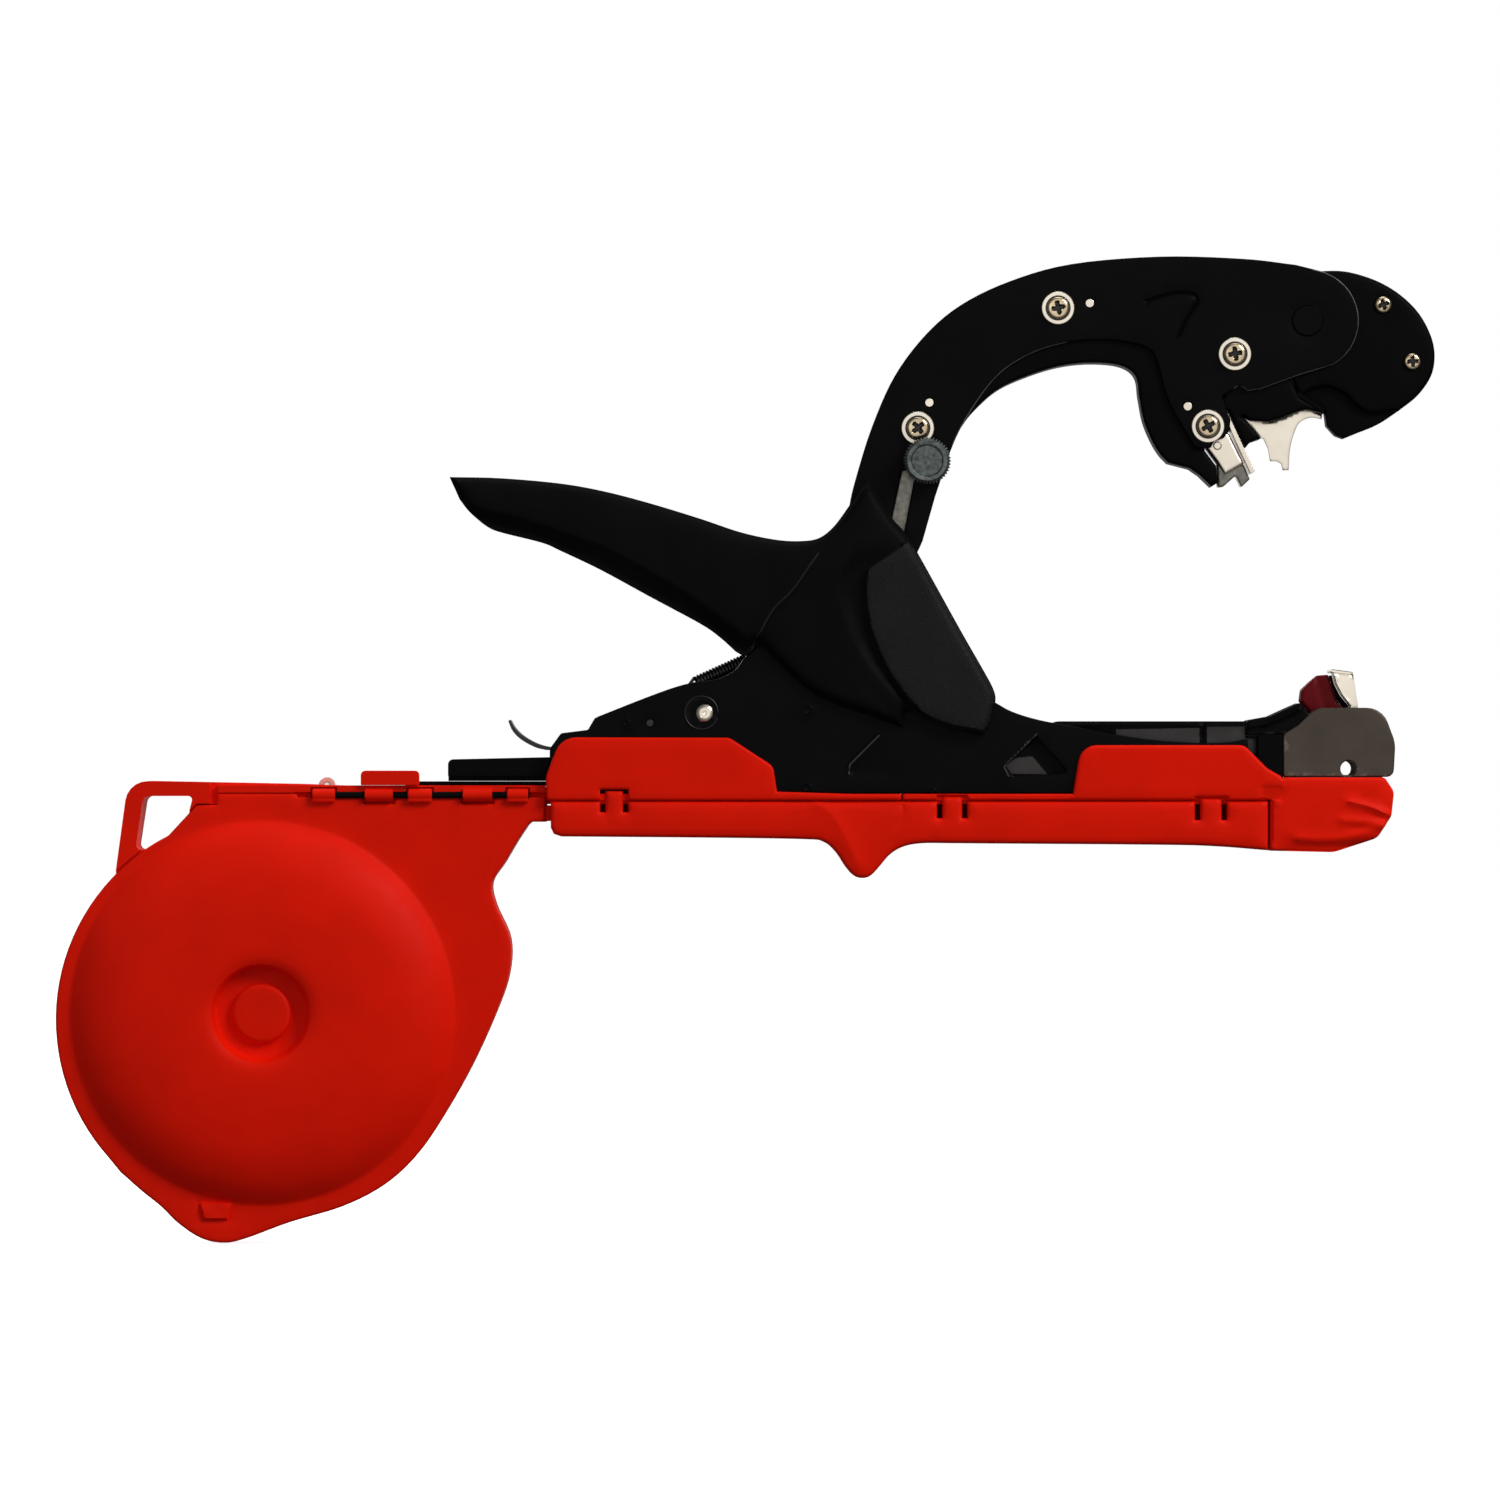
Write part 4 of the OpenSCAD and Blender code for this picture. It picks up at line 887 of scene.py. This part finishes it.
def nose_relief(x, z, d):
    f = -0.9 * bell(x - 150.9, 0.75) * ramp(-z, 22.9, 24) * ramp(z, -35.5, -33.2)
    f -= 0.45 * (ramp(x, 148, 149.2) * (1 - ramp(x, 153.6, 154.8))
                 * ramp(-z, 19.3, 20.1) * (1 - ramp(-z, 23, 23.6)))
    f -= 0.35 * bell(z + 23.35, 0.22) * (x < 150.6) * (x > 140)
    for line, high in zip(nose_lines, (0.55, 0.35, 0.4)):
        gap = gap_to(x, z, line)
        f += high * bell(gap, 0.9) - 0.2 * bell(gap - 2, 0.8)
    return f - 1.2 * (1 - ramp(z, -36.5, -31)) ** 2 * ramp(x, 151, 156) - ramp(x, 178, 184.5) ** 2


nose_marks = [(line, (-1.6, -0.8, 0, 0.8, 1.6), 0.9) for line in nose_lines]
nose_marks += [(np.array([(150.9, -35), (150.9, -23)]), (-0.9, -0.45, 0, 0.45, 0.9), 0.8),
               (np.array([(148, -23.4), (154.6, -23.4)]), (-0.3, 0, 0.3), 0.5),
               (np.array([(148.4, -19.7), (154.6, -19.7)]), (-0.5, 0, 0.5), 0.6)]
front = cover("front_cover", COVER_IN, r_out=0.9, grid=2.2, step=0.8, web_step=2, relief=nose_relief,
              lines=nose_marks)
front += hinge([(94.4, 104), (118, 129.6)], *FRAME_STRAP) + seam((52.8, 149.9))
joined("front_side_cover", front, RED, "frame", "front_cover")

stop_top = smooth([(20, -23.4), (31.2, -23.6), (40.9, -24), (52.7, -24.6)])
stop_fold = smooth([(30, -24.4), (33.4, -26.8), (36, -30.4), (38.6, -35.6), (41, -40.4)])
stop_end = smooth([(52.8, -24.8), (52.9, -27), (51.6, -30), (48, -34.4), (45.4, -38.6)])


def stop_relief(x, z, d):
    f = 0.32 * bell(gap_to(x, z, stop_fold), 1.5) - 0.5 * np.exp(-d / 2.2)
    f -= 0.28 * bell(gap_to(x, z, stop_end), 0.6) * ramp(z, -32, -29)
    return f - 0.25 * bell(gap_to(x, z, stop_top), 0.4) * (x > 20) * (x < 53)


stop_marks = [(stop_fold, (-1.4, -0.6, 0, 0.6, 1.4), 1.0), (stop_end, (-0.6, -0.2, 0.2, 0.6), 0.8)]
under = cover("tape_cover", CHANNEL, r_out=1.0, grid=2.6, step=0.9, web_step=1.5, relief=stop_relief,
              lines=stop_marks)
under += hinge([(-20, -10), (84, 94), (130, 140)], *COVER_STRAP)
joined("tape_channel_cover", under, RED, "channel_cover", "tape_cover")

# the far face of the cassette, a guess: a hub boss, a ring and the ribs between them
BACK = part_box("cassette_body")[1].y / MM - 0.15
RIB = BACK + 0.85
BEAD = RIB - 0.2
boss = [(0, BACK), (9.5, BACK), (9.5, BEAD), (9.3, RIB), (2.6, RIB), (2.3, RIB - 0.4), (0, RIB - 0.4)]
hoop = [(45.2, BACK), (45.2, BEAD), (45, RIB), (43.8, RIB), (43.6, BEAD), (43.6, BACK), (45.2, BACK)]
ribs = [turned(profile, ROLL_AT, RED, 120) for profile in (boss, hoop)]
for k in range(6):
    t = math.radians(60 * k + 30)
    along, across = np.array([math.cos(t), math.sin(t)]), 0.75 * np.array([-math.sin(t), math.cos(t)])
    rib = np.array([ROLL_AT + along * r + across * side for r, side in ((9, -1), (44, -1), (44, 1), (9, 1))])
    ribs.append(moulding("rib", [rib], BACK, RIB - 0.05, 0, 0.25, grid=8, step=4))
joined("cassette_back_ribs", ribs, RED, "frame")

# the tape, wound in turns that don't lie quite level
TURNS = 48
low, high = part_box("tape_roll")
core_low, core_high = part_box("roll_core")
inner, outer = (core_high.x - core_low.x) / 2 / MM + 0.05, (high.x - low.x) / 2 / MM
side_a, side_b = low.y / MM, high.y / MM
turns = [(inner + (outer - 0.3 - inner) * i / TURNS, random.choice((0, 0.05, 0.12, 0.25)))
         for i in range(TURNS + 1)]
profile = [(r, side_a + sink) for r, sink in turns] + [(outer, side_a + 0.4), (outer, side_b - 0.4)]
profile += [(r, side_b - sink) for r, sink in reversed(turns)]
piece("wound_tape", *lathe(profile + profile[:1], ROLL_AT, 144), FILM, "roll", "tape_roll", sharp=20)

# ---------------------------------------------------------------- side plates and magazine

plate_dots = [((-21, -2.6), 0.8), ((27.5, 0.8), 1.1), ((27.3, -19.9), 0.9), ((60.7, -20.9), 0.7),
              ((60.7, 3), 1.2)]
cast_line = np.array([(46.6, -5.9), (38.7, -13.8), (38.4, -16.4)])
cast_end = np.array([(38.5, -15.4), (50.5, -16.6)])
window_line = np.array([(88.7, -5.6), (79.9, -14.4), (81.2, -17)])


def plate_relief(x, z, d):
    gap, side = to_line(np.stack([x, z], 1), cast_line, False)
    f = 0.35 * bell(gap, 0.5) - 0.3 * ramp(-side * gap, 0.3, 1.2) * np.exp(-gap / 4)
    f += 0.3 * bell(gap_to(x, z, window_line), 0.5) - 0.22 * bell(gap_to(x, z, cast_end), 0.5)
    for at, r in plate_dots:
        f += 0.3 * bell(np.hypot(x - at[0], z - at[1]) - r, 0.35)
    return f


plate_marks = [(cast_line, (-1.2, -0.5, -0.2, 0.2, 0.5), 0.7), (cast_end, (-0.5, 0, 0.5), 0.7),
               (window_line, (-0.5, -0.2, 0.2, 0.5), 0.7)]
plate_marks += [(looped(circle(at, r, 14)), (-0.35, 0, 0.35), 0.5) for at, r in plate_dots]


def lit_line(c):
    """The crests of the two cast ribs, painted dark grey as their highlight."""
    return (gap_to(*c.T, cast_line) < 0.2) | (gap_to(*c.T, window_line) < 0.2)


look = [BLACK_STEEL, DARK_GREY]
joined("frame_plates", pair(section("side_plate_near", -8.75), 8.0, 9.5, 0.4, 0.1, plate_relief, grid=4,
                            step=1.3, lines=plate_marks, area=lit_line, finish=look),
       look, "frame", ("side_plate_near", "side_plate_far"))

# where the channel shows grey steel, black elsewhere; the last patch is the lit part seen through the plate's
# window, painted grey, and the shaded part beside it stays black as painted shade
grey_parts = [np.array(p) for p in (
    [(110, -4.4), (132.3, -4), (132.3, -9), (110, -9)],
    [(134.3, -3.7), (144.8, -3.6), (144.8, -9), (134.3, -9)],
    [(145.1, -5), (147.7, -5), (147.7, -22), (145.1, -22)],
    [(83.4, -12), (87.6, -11.6), (91.6, -16.4), (81.4, -16.2), (80.4, -14)])]


def magazine_relief(x, z, d):
    f = 0.25 * bell(z + 3.3, 0.35) * (x > 96) - 0.4 * bell(x - 133.3, 0.4) * (z > -7.6)
    return f - 0.25 * bell(z + 6.3 - 0.02 * (x - 120), 0.6) * (x > 100) * (x < 146)


def is_grey(c):
    return np.any([inside(c, [p]) for p in grey_parts], 0)


magazine_marks = [(np.array([(97, -3.3), (144, -3.3)]), (-0.4, 0, 0.4), 1.2),
                  (np.array([(133.3, -7.6), (133.3, -2.8)]), (-0.5, 0, 0.5), 0.7)]
magazine_marks += [(looped(p), (-0.06, 0.06), 1.2) for p in grey_parts]
channel = pair(section("magazine", -6), 5.3, 6.6, 0.25, 0.1, magazine_relief, grid=3, step=1.2,
               lines=magazine_marks, area=is_grey, finish=look)
channel += [slab((-41, 147.6), (-5.32, 5.32), (-20.6, -19.4), look),
            slab((98, 144.6), (-5.32, 5.32), (-3.2, -2.2), look, 0.1),
            slab((-80.4, -41), (-3.3, 3.3), (-19.5, -18.3), look, 0.2)]
joined("staple_channel", channel, look, "frame", "magazine")

# ---------------------------------------------------------------- main pivot

RINGS_AT, WIRE_AT, WIRE_R = (-0.9, 0.1), 9.74, 4.42
rings, wires = [], []
for side in (-1, 1):
    rings.append(turned([(r, side * y) for r, y in ((3.3, 9.5), (3.3, 9.72), (4.5, 9.72), (4.6, 9.6),
                                                    (4.6, 9.5), (3.3, 9.5))], RINGS_AT, BLACK_STEEL))
    loop = [(RINGS_AT[0] + WIRE_R * math.cos(t * math.pi / 40), side * WIRE_AT,
             RINGS_AT[1] + WIRE_R * math.sin(t * math.pi / 40)) for t in range(77)]
    wires.append(piece("wire", *tube(loop, 0.17, 8), SPRING, clean=False))
half = [(0, 9.95), (0.4, 9.9), (0.6, 10.02), (1.25, 10.02), (1.35, 9.85), (1.5, 9.95), (1.75, 9.85),
        (2.38, 9.3)]
profile = [(r, -y) for r, y in half] + half[::-1]
piece("pivot_pin", *lathe(profile, (0, 0), 56), BRIGHT, "frame", "main_pivot_pin")
joined("pivot_spring_rings", rings, BLACK_STEEL, "frame", "pivot_rings")
joined("pivot_wire_rings", wires, SPRING, "frame")

# ---------------------------------------------------------------- nose steel, clip and gripper

walls = pair(section("nose_plate", -8.9), 8.2, 9.5, 0.45, 0.15, grid=2.4, step=0.6, finish=WARM_GREY)
walls.append(slab((182.6, 183.9), (-8.4, 8.4), (-13.5, -7), WARM_GREY, 0.1, grid=3, step=2))
walls += [slab((156, 181), (y, y + 0.8), (-17.9, -16.6), WARM_GREY, 0.1, grid=4, step=2) for y in (-9.1, 8.3)]
joined("nose_side_plates", walls, WARM_GREY, "frame", "nose_plate")

hood = section("tape_clip", -3)[:1]
fold = smooth([(167.4, 11.3), (168.4, 11.0), (173.2, 10.45), (173.5, 9.6)])


def hood_relief(x, z, d):
    return 0.25 * bell(d, 0.35) - 0.3 * bell(gap_to(x, z, fold) - 0.35, 0.2)


parts = [moulding("hood", hood, -5.6, -1.4, 0.2, 0.2, hood_relief, grid=0.7, step=0.3, finish=BRIGHT,
                  lines=[(fold, (-0.5, -0.3, -0.1), 0.3)]),
         moulding("hood", hood, 1.4, 5.6, 0.2, 0.2, None, hood_relief, grid=0.7, step=0.3, finish=BRIGHT),
         slab((172.8, 174.8), (-5.6, 5.6), (0, 1.9), BRIGHT, 0.15, grid=1, step=0.6)]
joined("clip_hood", parts, BRIGHT, "frame", "tape_clip")


def pad_relief(x, z, d):
    return -0.5 * bell(x - 165.2 + 0.25 * (z - 5), 0.9)


parts = pair(section("tape_gripper", -3)[:1], 1.4, 3.6, 0.9, 0.3, pad_relief, grid=0.9, step=0.4,
             finish=MAROON)
parts.append(slab((162.5, 170.5), (-1.42, 1.42), (0.02, 2.4), MAROON, grid=2, step=1))
joined("gripper_pads", parts, MAROON, "frame", "tape_gripper")

arm_line = smooth([(145.5, -3.6), (150, -2.9), (155, -0.9), (159, 1)])


def link_relief(x, z, d):
    gap = gap_to(x, z, arm_line)
    return 0.5 * bell(gap, 0.6) - 0.3 * bell(gap - 1.3, 0.5)


parts = pair(section("gripper_arm", -6)[:1], 3.7, 8, 0.5, 0.2, link_relief, grid=0.9, step=0.5,
             finish=BLACK_STEEL, lines=[(arm_line, (-0.8, 0, 0.8), 0.6)])
parts.append(slab((156.2, 158.8), (-3.75, 3.75), (-4.4, -0.4), BLACK_STEEL, grid=2, step=1))
parts += [slab((145.3, 156), (y, y + 3.9), (-6.7, -5.4), BLACK_STEEL, 0.1, grid=3, step=1.5)
          for y in (-7.8, 3.9)]
joined("gripper_links", parts, BLACK_STEEL, "frame", "gripper_arm")

# ---------------------------------------------------------------- stage and light


def studio():
    """The camera sees white. The part sees a dim sky, and its gloss sees a card before and behind it."""
    world = bpy.data.worlds.new("studio")
    scene.world = world
    world.use_nodes = True
    nt = world.node_tree
    nt.nodes.clear()
    add, link = nt.nodes.new, nt.links.new
    out, split, path = (add("ShaderNode" + kind) for kind in ("OutputWorld", "SeparateXYZ", "LightPath"))
    seen, soft = add("ShaderNodeBackground"), add("ShaderNodeBackground")
    seen.inputs[0].default_value = (1, 1, 1, 1)
    soft.inputs[0].default_value = (1, 0.98, 0.96, 1)
    link(add("ShaderNodeTexCoord").outputs["Generated"], split.inputs[0])
    cards, blend, mix = add("ShaderNodeMath"), add("ShaderNodeMix"), add("ShaderNodeMixShader")
    for k, (low, high, power) in enumerate(((-0.5, -0.97, 0.95), (0.6, 0.97, 0.6))):
        link(ranged(nt, split.outputs["Y"], low, high, 0.07, power), cards.inputs[k])
    link(path.outputs["Is Glossy Ray"], blend.inputs[0])
    link(ranged(nt, split.outputs["Z"], -0.5, 0.9, 0.09, 0.42), blend.inputs[2])
    link(cards.outputs[0], blend.inputs[3])
    link(blend.outputs[0], soft.inputs[1])
    link(path.outputs["Is Camera Ray"], mix.inputs[0])
    link(soft.outputs[0], mix.inputs[1])
    link(seen.outputs[0], mix.inputs[2])
    link(mix.outputs[0], out.inputs[0])


def pale_floor():
    bm = bmesh.new()
    bmesh.ops.create_grid(bm, x_segments=1, y_segments=1, size=6)
    mesh = bpy.data.meshes.new("floor")
    bm.to_mesh(mesh)
    bm.free()
    floor = bpy.data.objects.new("floor", mesh)
    scene.collection.objects.link(floor)
    floor.location.z = cad_low.z - 0.0005
    floor.visible_diffuse = False
    floor.visible_glossy = False
    m = bpy.data.materials.new("pale_floor")
    m.use_nodes = True
    b = m.node_tree.nodes["Principled BSDF"]
    for socket, value in (("Base Color", (0.85, 0.85, 0.85, 1)), ("Roughness", 0.9),
                          ("Emission Color", (1, 1, 1, 1)), ("Emission Strength", 0.9)):
        b.inputs[socket].default_value = value
    mesh.materials.append(m)


def lamp(name, at, size, power):
    """A soft area lamp, in metres and watts, aimed at the part's origin."""
    data = bpy.data.lights.new(name, "AREA")
    data.shape = "RECTANGLE"
    data.size, data.size_y = size
    data.energy = power
    o = bpy.data.objects.new(name, data)
    scene.collection.objects.link(o)
    o.location = at
    o.rotation_euler = (-Vector(at)).to_track_quat("-Z", "Y").to_euler()


studio()
pale_floor()
lamp("key", (1.1, -1.0, 1.0), (0.7, 0.7), 17)
lamp("fill", (-0.8, -1.3, 0.3), (0.9, 0.9), 0.8)
lamp("top", (0.1, 0.1, 1.3), (1.0, 0.7), 4)
lamp("back", (-0.9, 1.4, 0.8), (0.8, 0.8), 9)
